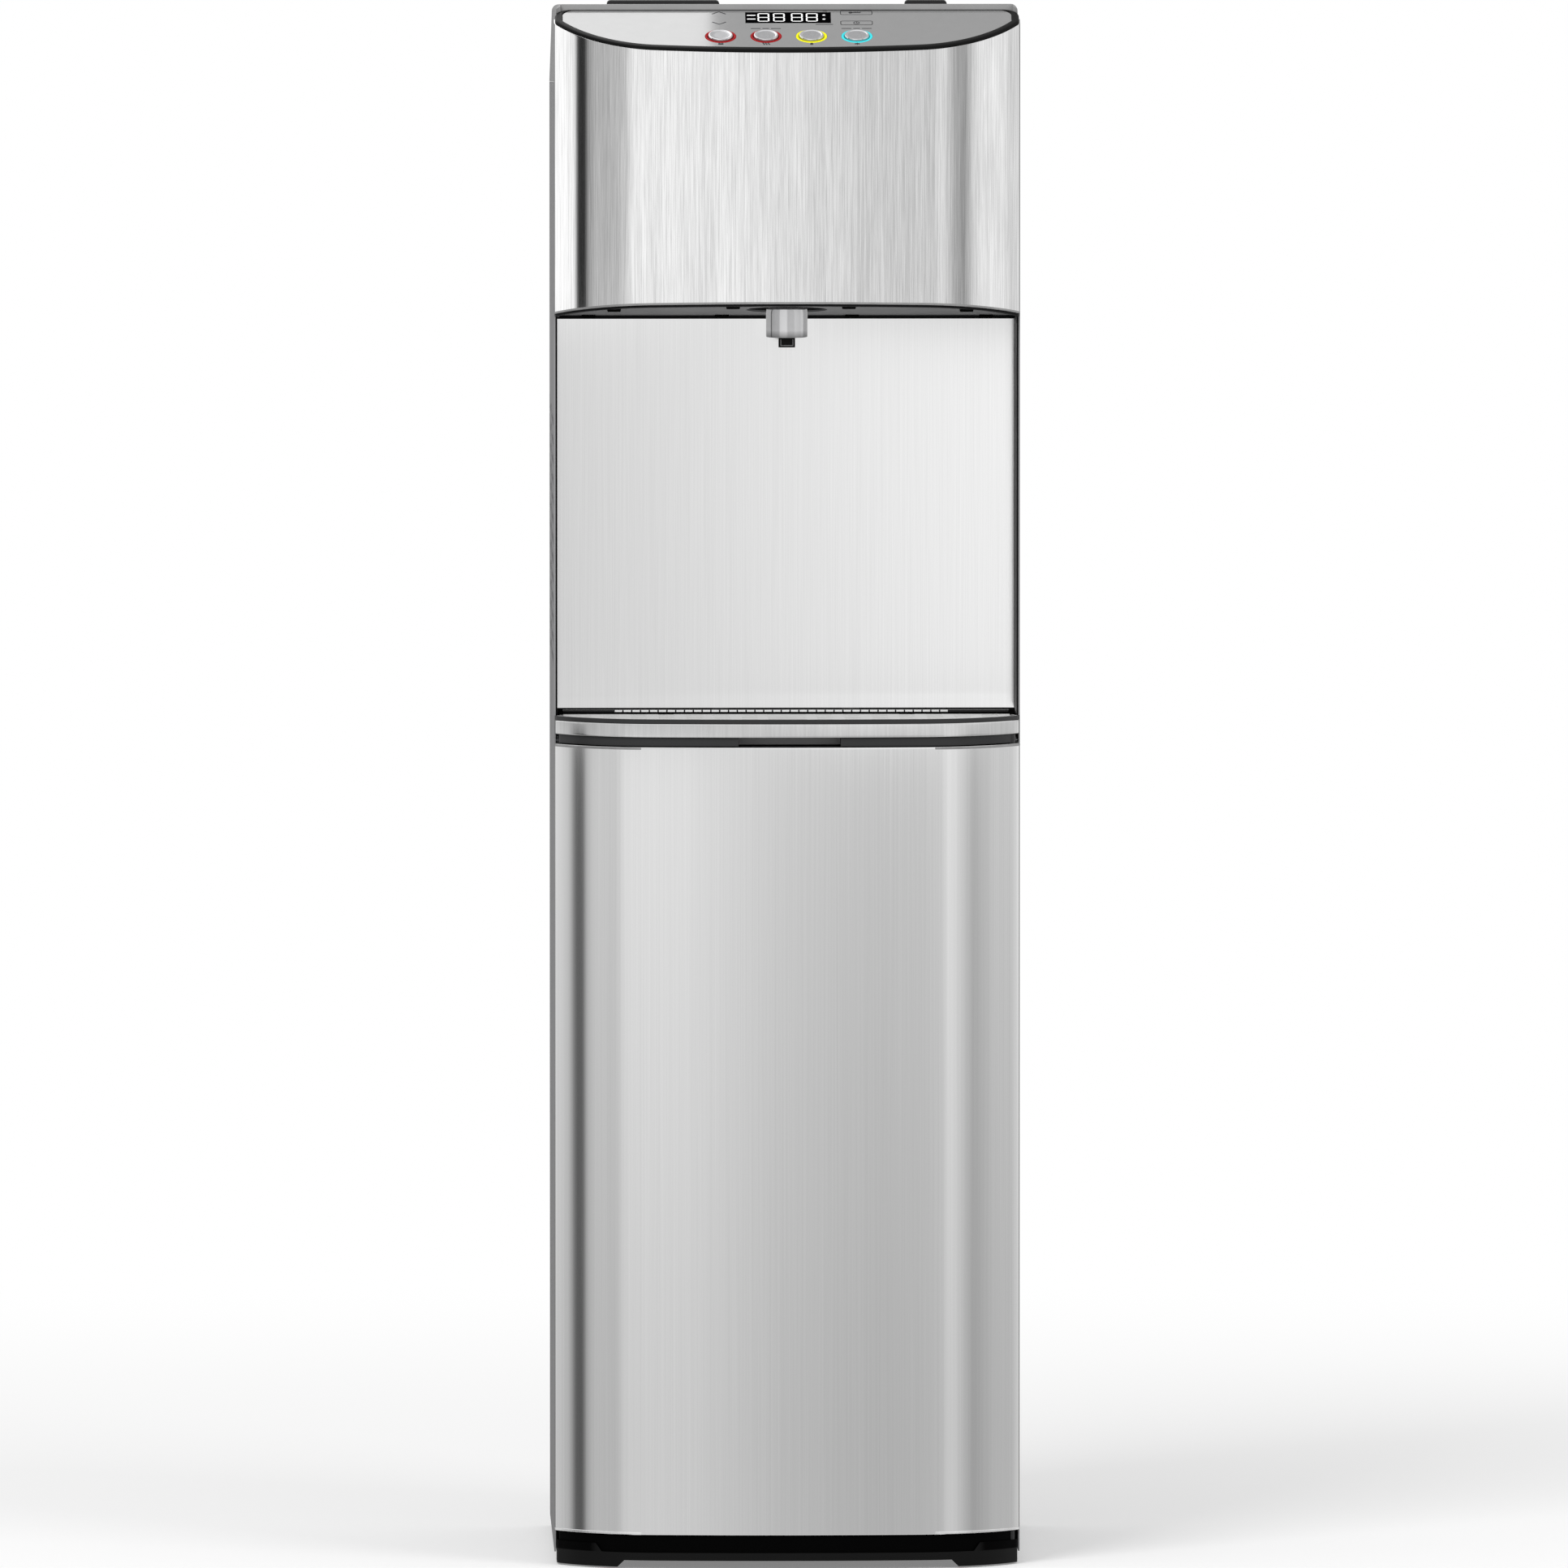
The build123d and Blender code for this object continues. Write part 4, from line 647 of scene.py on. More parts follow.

# The fascia's lower edge falls to the rear and ends in a rolled hem with painted shade; its upper edge
# rises with the control panel.
fasciaSheet = {
    "low": 843.6, "lowSlope": -11.4, "high": 1010.6, "highSlope": 21.5, "sheet": 0.8, "back": 50.5,
    "roll": 0.5, "rollHigh": 0.1, "held": 0.9,
}
hemAt = 6  # the point past the lower roll, where the hem ends
inset, height = sheetLoop(fasciaSheet)
stations = frontStations(fasciaSheet["back"])
middle = (fasciaSheet["low"] + fasciaSheet["high"]) / 2
slope = np.tan(np.radians(np.where(height < middle, fasciaSheet["lowSlope"], fasciaSheet["highSlope"])))
hemFaces = np.tile(np.arange(len(inset)) < hemAt, len(stations) - 1)
makePiece("fasciaSheet", carryAlong(stations, inset, height, slope), ("fasciaSteel", "rolledHem"),
          "root", ["upper_fascia"], faceFinish=np.append(hemFaces, [0, 0]))


# hems let into the corners of the door, above and below: painted shade on the upper one and a painted
# highlight on the lower one

doorHem = {
    "from": 10.8, "proud": 0.35, "fade": 6.0, "thinFrom": 68.0, "thinOver": 20.0, "thinBy": 0.8,
    "topHeight": 1.5, "topGap": 0.35, "bottomHeight": 1.9, "bottomGap": 0.1,
}


def hemStrip(name, low, high, finish):
    # a strip on the face of the sheet from the start of each corner to the end of the nose
    shape = np.array([0.05, -0.7, -1.0, -1.0, -0.7, 0.05])
    rise = np.array([0.0, 0.12, 0.3, 0.7, 0.88, 1.0])
    stations = frontStations()
    sides = []
    for side in (-1, 1):
        part = stations[np.degrees(stations[:, 3]) * side > doorHem["from"]][::side]
        turn = np.abs(np.degrees(part[:, 3:]))
        lift = doorHem["proud"] * np.clip((turn - doorHem["from"]) / doorHem["fade"], 0.05, 1.0)
        thin = np.clip((turn - doorHem["thinFrom"]) / doorHem["thinOver"], 0, 1)
        lift = lift * (1 - doorHem["thinBy"] * thin)
        sides.append(carryAlong(part, np.where(shape > 0, shape, shape * lift), low + (high - low) * rise))
    makePiece(name, gather(sides), finish, "door")


hemTop = doorSheet["high"] - doorHem["topGap"]
hemFoot = doorSheet["low"] + doorHem["bottomGap"]
hemStrip("doorHemTop", hemTop - doorHem["topHeight"], hemTop, "rolledHem")
hemStrip("doorHemBottom", hemFoot, hemFoot + doorHem["bottomHeight"], "brightHem")


# control panel: everything on it stands on the sloping plane

panel = {"front": 1010.6, "slope": 21.5}
panelLean = np.radians(panel["slope"])
panelUp = np.array([0.0, np.cos(panelLean), np.sin(panelLean)])
panelOut = np.array([0.0, -panelUp[2], panelUp[1]])
panelStart = np.array([0.0, frontLine["frontY"], panel["front"]])


def onPanel(x, distance, lift):
    # point at x, so far up the slope and so far out of the plane
    x, distance, lift = (part[..., None] for part in np.broadcast_arrays(x, distance, lift))
    return panelStart + x * np.array([1.0, 0.0, 0.0]) + distance * panelUp + lift * panelOut


rim = {
    "inset": 0.7, "width": 5.2, "rearWidth": 1.6, "rise": 1.6, "rearRise": 0.7, "foot": 0.05,
    "back": 64.3, "corner": 12.0, "fullness": 0.6,
}


def makeRim():
    # The bead's section is a flat foot under a rounded back: share = 0.5 - 0.5 * cos^fullness
    # across and sin^fullness up. Its width and rise shrink from the sides to the rear strip.
    stations = frontStations(rim["back"], rim["corner"])
    share = softStep(np.abs(stations[:, 3:]) / (np.pi / 2) - 1)
    width = rim["width"] + (rim["rearWidth"] - rim["width"]) * share
    rise = rim["rise"] + (rim["rearRise"] - rim["rise"]) * share
    t = np.linspace(0, np.pi, 15)
    across = 0.5 - 0.5 * np.sign(np.cos(t)) * np.abs(np.cos(t)) ** rim["fullness"]
    up = rim["foot"] + (rise - rim["foot"]) * np.sin(t).clip(0) ** rim["fullness"]
    bead = carryAlong(stations, rim["inset"] + across * width, panel["front"] + up / np.cos(panelLean),
                      np.tan(panelLean), True)
    makePiece("panelBead", bead, "beadBlack", "root", ["panel_rim"], angle=50.0)


makeRim()

keys = {
    "names": ("lock", "hot", "room", "cold"),
    "first": -44.6,
    "pitch": 30.2,
    "distance": 25.4,
    "edge": (8, 14),
}
keyXs = [keys["first"] + i * keys["pitch"] for i in range(4)]


def turned(profile, x):
    # a profile turned about the panel's normal in the middle of a key
    u, v, lift, faces = spin(profile, 64)
    return onPanel(x + u, keys["distance"] + v, lift).reshape(-1, 3), faces


keyProfile = [
    (0.0, -7.0), (2.5, -7.0), (2.5, -4.7), (10.1, -4.7), (10.15, -4.6), (10.15, -3.6), (10.05, -3.5),
    (8.15, -3.5), (8.15, 1.3), (8.08, 1.7), (7.85, 2.0), (7.55, 2.1), (7.15, 2.08), (6.85, 1.95),
    (6.55, 1.76), (6.1, 1.66), (4.0, 1.62), (2.0, 1.60), (0.0, 1.60),
]
along = np.arange(len(keyProfile) - 1)
edgeFaces = np.tile((along >= keys["edge"][0]) & (along <= keys["edge"][1]), 64)
for keyName, x in zip(keys["names"], keyXs):
    makePiece(f"keyCap.{keyName}", turned(keyProfile, x), ("keySilver", "keyEdge"), f"key_{keyName}",
              [f"button_{keyName}"], faceFinish=edgeFaces)

ringProfile = [
    (8.55, -1.5), (10.3, -1.5), (10.3, 0.64), (10.24, 0.78), (10.08, 0.87), (9.8, 0.9), (9.4, 0.89),
    (9.05, 0.83), (8.8, 0.7), (8.62, 0.5), (8.55, 0.3), (8.55, -1.5),
]
rings = gather([turned(ringProfile, x) for x in keyXs])
makePiece("keyRings", rings, ("ringRed", "ringYellow", "ringCyan"), "root",
          ["button_rings"], faceFinish=np.repeat([0, 0, 1, 2], len(rings[1]) // 4))


# flat marks: outlines in (x, distance) drawn as thin plates on the panel

printing = {
    "line": 0.85, "fine": 0.55, "lift": (0.58, 0.66),
    "chevronX": (-49.8, -45.2, -40.7), "chevrons": ((61.4, 3.9), (48.6, -3.7)),
    "frameX": (36.8, 55.4), "frames": (63.6, 47.0), "frameHalf": 1.9, "frameCorner": 1.2,
    "stem": (42.6, 49.0), "bulb": (42.3, 1.3), "ticks": (45.6, 47.2, 48.8), "tickHeights": (0.9, 1.7),
    "face": (46.1, 1.9), "hands": ((0.0, 1.2), (0.0, 0.0), (1.0, -0.4)),
    "iconY": 13.4, "body": (1.7, -1.5, 0.7), "bow": (0.9, 1.15),
    "waves": (-1.7, 0.0, 1.7), "waveSwing": 0.45, "waveFoot": -1.7, "waveHeight": 3.6,
    "drop": (1.5, 2.0, 0.2), "crystal": 1.9,
    "ruleY": 38.0, "rules": ((-10.0, -3.5), (-2.2, 2.2), (3.5, 10.0)),
    "windowRules": ((18.9, 30.4, 44.6), (23.9, 26.5, 65.9)),
}


def bandMark(line, width, closed=False):
    # a band of even width: each point of the line moves out and in along the line's normal
    line = np.asarray(line, float)
    if closed:
        line = np.vstack([line, line[:1]])
    ahead = np.gradient(line, axis=0)
    if closed:
        ahead[0] = ahead[-1] = line[1] - line[-2]
    ahead /= np.linalg.norm(ahead, axis=1)[:, None] + 1e-12
    out = np.stack([-ahead[:, 1], ahead[:, 0]], 1) * width / 2
    low, high = printing["lift"]
    ring = ((line + out, low), (line + out, high), (line - out, high), (line - out, low))
    points, faces = loft(np.stack([onPanel(*p.T, lift) for p, lift in ring], 1))
    return points, faces[:-2] if closed else faces


def filledMark(outline, lifts=printing["lift"]):
    # a flat outline given a thickness
    return loft([onPanel(*np.asarray(outline, float).T, lift) for lift in lifts])


def circle(x, y, radius, first=0.0, last=360.0, count=20):
    t = np.radians(np.linspace(first, last, count))
    return np.stack([x + radius * np.cos(t), y + radius * np.sin(t)], 1)


def oblong(x0, y0, x1, y1):
    # the four corners, anticlockwise from the first
    return [(x0, y0), (x1, y0), (x1, y1), (x0, y1)]


clock = {
    "digits": (-15.7, -5.4, 6.55, 16.5),
    "low": 49.2, "width": 7.9, "height": 13.3, "bar": 1.05, "gap": 0.12,
    "dotX": 24.5, "dotRadius": 1.0, "dots": (52.9, 59.5),
    "dashX": (-26.6, -21.0), "dashHalf": 0.7, "dashes": (53.2, 59.2),
    "lift": (0.55, 0.72),
}


def segment(x0, y0, x1, y1):
    # a bar with pointed ends from one corner of the digit to the next
    start, end = np.array([x0, y0]), np.array([x1, y1])
    cut = (end - start) / np.linalg.norm(end - start) * clock["bar"] / 2
    out = np.array([-cut[1], cut[0]])
    return [start, start + cut + out, end - cut + out, end, end - cut - out, start + cut - out]


def makeDigits():
    half, gap = clock["width"] / 2 - clock["bar"] / 2, clock["gap"]
    bottom = clock["low"] + clock["bar"] / 2
    top = clock["low"] + clock["height"] - clock["bar"] / 2
    centre = (bottom + top) / 2
    marks = []
    for x in clock["digits"]:
        marks += [segment(x - half + gap, y, x + half - gap, y) for y in (bottom, centre, top)]
        marks += [segment(x + side, y0 + gap, x + side, y1 - gap)
                  for side in (-half, half) for y0, y1 in ((bottom, centre), (centre, top))]
    marks += [circle(clock["dotX"], y, clock["dotRadius"])[:-1] for y in clock["dots"]]
    first, last = clock["dashX"]
    marks += [oblong(first, y - clock["dashHalf"], last, y + clock["dashHalf"]) for y in clock["dashes"]]
    digits = gather([filledMark(mark, clock["lift"]) for mark in marks])
    makePiece("clockDigits", digits, "digitWhite", "root")


makeDigits()


def touchKeys():
    # two frames with round corners, a thermometer in the upper and a clock face in the lower
    p, fine = printing, printing["fine"]
    (left, right), half = p["frameX"], p["frameHalf"]
    corners = ((right, half, 0), (left, half, 90), (left, -half, 180), (right, -half, 270))
    frames = [np.concatenate([circle(x, y + dy, p["frameCorner"], first, first + 90, 5)
                              for x, dy, first in corners]) for y in p["frames"]]
    upper, lower = p["frames"]
    faceX, faceRadius = p["face"]
    bulbX, bulbRadius = p["bulb"]
    tickLow, tickHigh = p["tickHeights"]
    return [bandMark(frame, fine, True) for frame in frames] + [
        bandMark([(x, upper) for x in p["stem"]], 1.0),
        filledMark(circle(bulbX, upper, bulbRadius, 0, 342, 18)),
        *[bandMark([(x, upper + tickLow), (x, upper + tickHigh)], fine) for x in p["ticks"]],
        bandMark(circle(faceX, lower, faceRadius, 0, 345, 22), fine, True),
        bandMark([(faceX + dx, lower + dy) for dx, dy in p["hands"]], fine),
    ]


def keyIcons():
    # over the keys: a padlock, three rising waves, a drop and a six-armed crystal
    p, fine, y = printing, printing["fine"], printing["iconY"]
    lock, hot, room, cold = keyXs
    half, low, high = p["body"]
    bowLift, bowRadius = p["bow"]
    t = np.linspace(0, 1, 12)
    swing, rise = p["waveSwing"] * np.sin(2 * np.pi * t), p["waveFoot"] + p["waveHeight"] * t
    waves = [np.stack([hot + dx + swing, y + rise], 1) for dx in p["waves"]]
    # the drop: x = width * sin t * sin(t / 2)^1.2, y = lift + height * cos t
    t = np.linspace(0, 2 * np.pi, 25)[:-1]
    width, height, lift = p["drop"]
    drop = np.stack([room + width * np.sin(t) * np.sin(t / 2) ** 1.2, y + lift + height * np.cos(t)], 1)
    arms = [p["crystal"] * np.array([np.cos(a), np.sin(a)]) for a in np.radians((30, 90, 150))]
    return [
        filledMark(oblong(lock - half, y + low, lock + half, y + high)),
        bandMark(circle(lock, y + bowLift, bowRadius, 0, 180, 12), fine),
        *[bandMark(wave, p["line"]) for wave in waves],
        filledMark(drop),
        *[bandMark([(cold, y) - arm, (cold, y) + arm], fine) for arm in arms],
    ]


def printedRules():
    # short rules above the second and fourth keys, one under the window and one over it
    p = printing
    rules = [(x + first, x + last, p["ruleY"]) for x in keyXs[1::2] for first, last in p["rules"]]
    return [bandMark([(first, y), (last, y)], p["line"]) for first, last, y in (*rules, *p["windowRules"])]


chevrons = [bandMark(list(zip(printing["chevronX"], (y, y + bend, y))), printing["line"])
            for y, bend in printing["chevrons"]]
makePiece("panelPrint", gather(chevrons + touchKeys() + keyIcons() + printedRules()),
          "printGrey", "root")
print("control panel dressed")


# the head's underside, the spout and the small parts

def boxes(centres, size):
    # equal boxes: the eight corners of one, moved to each centre
    corners = np.array([[x, y, z] for x in (-0.5, 0.5) for y in (-0.5, 0.5) for z in (-0.5, 0.5)]) * size
    quads = np.array([[0, 1, 3, 2], [4, 6, 7, 5], [0, 4, 5, 1], [2, 3, 7, 6], [0, 2, 6, 4], [1, 5, 7, 3]])
    points = (np.asarray(centres, float)[:, None, :] + corners).reshape(-1, 3)
    return points, (quads + 8 * np.arange(len(centres))[:, None, None]).reshape(-1, 4).tolist()


underside = {"front": 844.4, "slope": -7.3}
underRun = np.tan(np.radians(underside["slope"]))

hooks = {
    "front": (-115.5, -36.5, 40.4, 118.8), "frontDrop": (4.8, 3.8, 3.8, 4.9), "frontGap": 5.4,
    "rear": (-131.4, -42.6, 44.3, 133.7), "rearDrop": (2.2, 2.2, 2.2, 2.2), "rearDepth": 109.4,
    "width": 9.2, "run": 4.0, "root": 1.8,
}


def makeHooks():
    # Snap hooks of the underside: a short bar whose section is a box with its lower corners
    # rounded off, a little smaller at both ends. The front row follows the bowed front:
    # depth = gap + x^2 / (2 * bow radius) + (x beyond the bow)^2 / (2 * corner radius).
    forward, drops = np.array([(0.0, 1.0), (0.0, -0.7), (0.12, -0.93), (0.35, -1.0),
                               (0.65, -1.0), (0.88, -0.93), (1.0, -0.7), (1.0, 1.0)]).T
    across = np.array([-0.5, -0.46, 0.46, 0.5])[:, None]
    shrink = np.array([0.8, 1.0, 1.0, 0.8])[:, None]
    bars = []
    for row in ("front", "rear"):
        for x, drop in zip(hooks[row], hooks[row + "Drop"]):
            beyond = max(0.0, abs(x) - frontLine["halfChord"])
            bow = x * x / (2 * frontLine["bowRadius"]) + beyond * beyond / (2 * frontLine["cornerRadius"])
            first = hooks["frontGap"] + bow if row == "front" else hooks["rearDepth"]
            depth = first + hooks["run"] * (0.5 + (forward - 0.5) * shrink)
            rise = np.where(drops > 0, hooks["root"], drop) * drops * shrink
            z = underside["front"] + first * underRun + rise
            bars.append(loft(standing(x + hooks["width"] * across, depth, z)))
    makePiece("canopyHooks", gather(bars), "wellBlack", "root")


makeHooks()

spout = {
    "depth": 62.0, "bore": 9.3, "neck": 11.3, "skirt": 13.8, "foot": 818.3, "shoulder": 833.4, "curve": 6.4,
    "top": 852.0, "well": ((11.6, 3.4), (27.0, 1.2)), "wellSheet": 1.0,
}
nozzleHighlightLine = {"halfWidth": 4.2, "top": 817.0, "low": 812.7, "line": 0.34, "ahead": 5.5, "lifts": (0.1, -0.12)}


def turnedUpright(profile, count=96, lean=0.0):
    # a profile turned about the spout's axis; its height leans with the distance behind the axis
    u, v, z, faces = spin(profile, count)
    return standing(u, spout["depth"] + v, z + lean * v).reshape(-1, 3), faces


def makeSpout():
    # The shell: a bore, a straight skirt with a small round at its foot, and a long quarter of
    # a curve from the skirt to the neck, radius = neck + (skirt - neck) * sqrt(1 - t^2).
    bore, neck, skirt, low = spout["bore"], spout["neck"], spout["skirt"], spout["foot"]
    curve = [(neck + (skirt - neck) * np.sqrt(1 - t * t), spout["shoulder"] + spout["curve"] * t)
             for t in np.linspace(0, 1, 14)]
    foot = [(skirt - inset, low + rise) for inset, rise in
            ((skirt - bore, 0.0), (0.45, 0.0), (0.2, 0.1), (0.06, 0.4), (0.0, 1.0), (0.0, 2.7))]
    profile = foot + curve + [(neck, spout["top"]), (bore, spout["top"]), (bore, low)]
    makePiece("spoutSkin", turnedUpright(profile), "spoutSatin", "root", ["spout_shell"])
    # the black well round it closes the hole in the underside
    base = underside["front"] + spout["depth"] * underRun
    under = [(radius, base + lift) for radius, lift in spout["well"]]
    over = [(radius, z + spout["wellSheet"]) for radius, z in under[::-1]]
    well = turnedUpright(under + over + under[:1], 72, underRun)
    makePiece("spoutWell", well, "wellBlack", "root")
    # painted highlight: a thin grey frame line on the nozzle's front, where its bevel catches the light, open
    # at its top
    f, line = nozzleHighlightLine, nozzleHighlightLine["line"]
    outer, inner = (np.array([(-half, f["top"]), (-half, foot), (half, foot), (half, f["top"])])
                    for half, foot in ((f["halfWidth"], f["low"]), (f["halfWidth"] - line, f["low"] + line)))
    back, front = spout["depth"] - f["ahead"] + np.array(f["lifts"])
    rings = [standing(outline[:, 0], depth, outline[:, 1])
             for outline, depth in ((outer, back), (outer, front), (inner, front), (inner, back))]
    makePiece("nozzleBevelHighlight", loft(np.stack(rings, 1)), "frameGrey", "root")


makeSpout()

dashes = {"count": 38, "pitch": 5.87, "middle": -3.0, "depth": 100.95, "z": 566.3, "size": (4.9, 0.4, 1.25)}
dashX = dashes["middle"] + dashes["pitch"] * (np.arange(dashes["count"]) - (dashes["count"] - 1) / 2)
dashRow = boxes(standing(dashX, dashes["depth"], dashes["z"]), dashes["size"])
makePiece("overflowDashes", dashRow, "dashSilver", "tray")

# a light grey plate at the back of the finger notch above the door: painted light in the notch's shade
notch = {"place": (1.0, 19.75, 551.8), "size": (67.4, 0.3, 4.9)}
paintedLightPlate = boxes([standing(*notch["place"])], notch["size"])
makePiece("notchPaintedLight", paintedLightPlate, "linerGrey", "root")

louvres = {
    "first": 602.6, "pitch": 13.2, "rows": 13, "height": 9.0, "columns": ((85.0, 225.0), (240.0, 333.0)),
    "outer": 154.9, "ends": (2.5, 4.5), "drawn": 0.35,
}


def makeLouvres(side, name):
    # Shutters in each slot: a thin plate that leans from the slot's upper edge down and inwards
    # and leaves a dark gap along the lower edge, with its ends drawn in.
    top, low = louvres["height"] / 2 - 0.1, -louvres["height"] / 2 + 1.5
    inwards, rise = np.array([(0.0, top), (0.45, top), (0.85, low + 0.3),
                              (0.8, low), (0.55, low), (0.0, top - 1.2)]).T
    draw = np.array([louvres["drawn"], 1.0, 1.0, louvres["drawn"]])[:, None]
    tip, full = louvres["ends"]
    x = side * (louvres["outer"] - inwards * draw)
    plates = []
    for first, last in louvres["columns"]:
        ends = np.array([first + tip, first + full, last - full, last - tip])[:, None]
        for row in range(louvres["rows"]):
            z = louvres["first"] + row * louvres["pitch"] + rise * draw
            plates.append(loft(standing(x, ends, z)))
    makePiece(name, gather(plates), "cabinetGrey", "root")


makeLouvres(-1, "louvreHoodsLeft")
makeLouvres(1, "louvreHoodsRight")

screws = {
    "rear": [(x, 341.0, z) for x in (-146.0, 146.0) for z in (40.0, 260.0, 480.0, 700.0, 935.0)],
    "rearTop": [(x, 341.0, 960.0) for x in (-70.0, 0.0, 70.0)],
    "inlet": [(x, 344.0, 716.0) for x in (75.5, 116.5)],
    "large": (3.1, 1.6),
    "small": (2.6, 1.3),
    "recess": (0.11, 0.6, 0.55),
}


def screwHead(x, depth, z, radius, rise):
    # Domed head that faces the rear, height = rise * sqrt(1 - r^4), less a cross-shaped recess
    # where the smaller of the two offsets from the middle is under a ninth of the head.
    r = np.array([1.0, 0.99, 0.93, 0.82, 0.66, 0.56, 0.5, 0.3, 0.12, 0.0])[:, None]
    turn = np.linspace(0, 2 * np.pi, 40, endpoint=False)
    u, v = r * np.cos(turn), r * np.sin(turn)
    half, reach, sunk = screws["recess"]
    out = np.sqrt(1 - r ** 4) - sunk * (np.minimum(np.abs(u), np.abs(v)) < half) * (r < reach)
    points, faces = loft(standing(x + radius * u, depth + rise * out, z + radius * v))
    return points, faces[:-1]


heads = [screwHead(*place, *screws["large"]) for place in screws["rear"] + screws["rearTop"]]
heads += [screwHead(*place, *screws["small"]) for place in screws["inlet"]]
makePiece("rearScrews", gather(heads), "pinSteel", "root")

doorInside = {
    "halfWidth": 136.0, "low": 36.0, "high": 535.0, "face": 46.45, "rise": 1.9, "edge": 5.0,
    "grooveX": (-68.0, 68.0), "grooveZ": (198.0, 372.0), "grooveHalf": 1.0,
}


def fineSteps(low, high, count, grooves):
    # even steps with closer ones at both ends and across the grooves
    close = [np.linspace(g - 6, g + 6, 9) for g in grooves]
    return np.unique(np.concatenate([
        np.linspace(low, high, count), np.linspace(low, low + 7, 8), np.linspace(high - 7, high, 8), *close]))


def makeDoorInside():
    # Moulded relief on the back of the door: depth = face + rise * smooth step of the distance
    # to the nearest edge or groove, so each field is a shallow cushion with soft edges.
    f = doorInside
    x, z = np.meshgrid(fineSteps(-f["halfWidth"], f["halfWidth"], 35, f["grooveX"]),
                       fineSteps(f["low"], f["high"], 40, f["grooveZ"]))
    near = [f["halfWidth"] - np.abs(x), z - f["low"], f["high"] - z]
    near += [np.abs(x - g) - f["grooveHalf"] for g in f["grooveX"]]
    near += [np.abs(z - g) - f["grooveHalf"] for g in f["grooveZ"]]
    depth = f["face"] + f["rise"] * softStep(np.minimum.reduce(near) / f["edge"])
    points = standing(x, depth, z).reshape(-1, 3)
    i = np.arange(x.size).reshape(x.shape)
    border = np.concatenate([i[0, :-1], i[:-1, -1], i[-1, :0:-1], i[:0:-1, 0]]).tolist()
    makePiece("doorRelief", (points, gridFaces(*x.shape) + [border]), "linerGrey", "door")


makeDoorInside()
print("small parts added")


# stage: pale floor, reflecting screens, lamps and world

white = (1.0, 1.0, 1.0, 1.0)
stage = {
    "floorHalf": 30.0,
    "floorTone": 0.82,
    "floorLift": 0.22,
    "whiteFrom": 0.5,
    "whiteAt": 2.2,
    "worldLight": 0.62,
    "keyPower": 150.0,
    "fillPower": 60.0,
}


def makeFloor():
    # The camera sees lit paper with the shadow near the cooler, which turns into plain white
    # with distance from it. Glossy rays pass through it to the screens and the white world.
    n = Nodes(bpy.data.materials.new("paleFloor"))
    camera = n.node("LightPath").outputs["Is Camera Ray"]
    matt = n.node("BsdfDiffuse", {"Color": (stage["floorTone"],) * 3 + (1.0,)}).outputs["BSDF"]
    lift = n.glow(white, n.maths("MULTIPLY", camera, stage["floorLift"]))
    paper = n.node("AddShader", {0: matt, 1: lift}).outputs["Shader"]
    far = n.node("VectorMath", {0: n.place()}, operation="LENGTH").outputs["Value"]
    turn = n.ranged(far, stage["whiteFrom"], stage["whiteAt"], interpolation_type="SMOOTHSTEP")
    seen = n.maths("MULTIPLY", turn, camera)
    mix = n.node("MixShader", {"Fac": seen, 1: paper, 2: n.glow(white, 1.0)}).outputs["Shader"]
    half = stage["floorHalf"]
    corners = [(x, y, 0.0) for x, y in oblong(-half, -half, half, half)]
    floor = addMesh("floor", corners, [(0, 1, 2, 3)], [n.finish(mix)])
    floor.visible_glossy = False


def makeWorld():
    # soft light on matt surfaces, plain white for the camera and for reflections
    n = Nodes(bpy.data.worlds.new("studio"))
    bpy.context.scene.world = n.owner
    rays = n.node("LightPath").outputs
    seen = n.maths("MAXIMUM", rays["Is Camera Ray"], rays["Is Glossy Ray"])
    seen = n.maths("MAXIMUM", seen, rays["Is Transmission Ray"])
    soft, plain = (n.node("Background", {"Color": white, "Strength": strength}).outputs["Background"]
                   for strength in (stage["worldLight"], 1.0))
    n.finish(n.node("MixShader", {"Fac": seen, 1: soft, 2: plain}).outputs["Shader"], "OutputWorld")


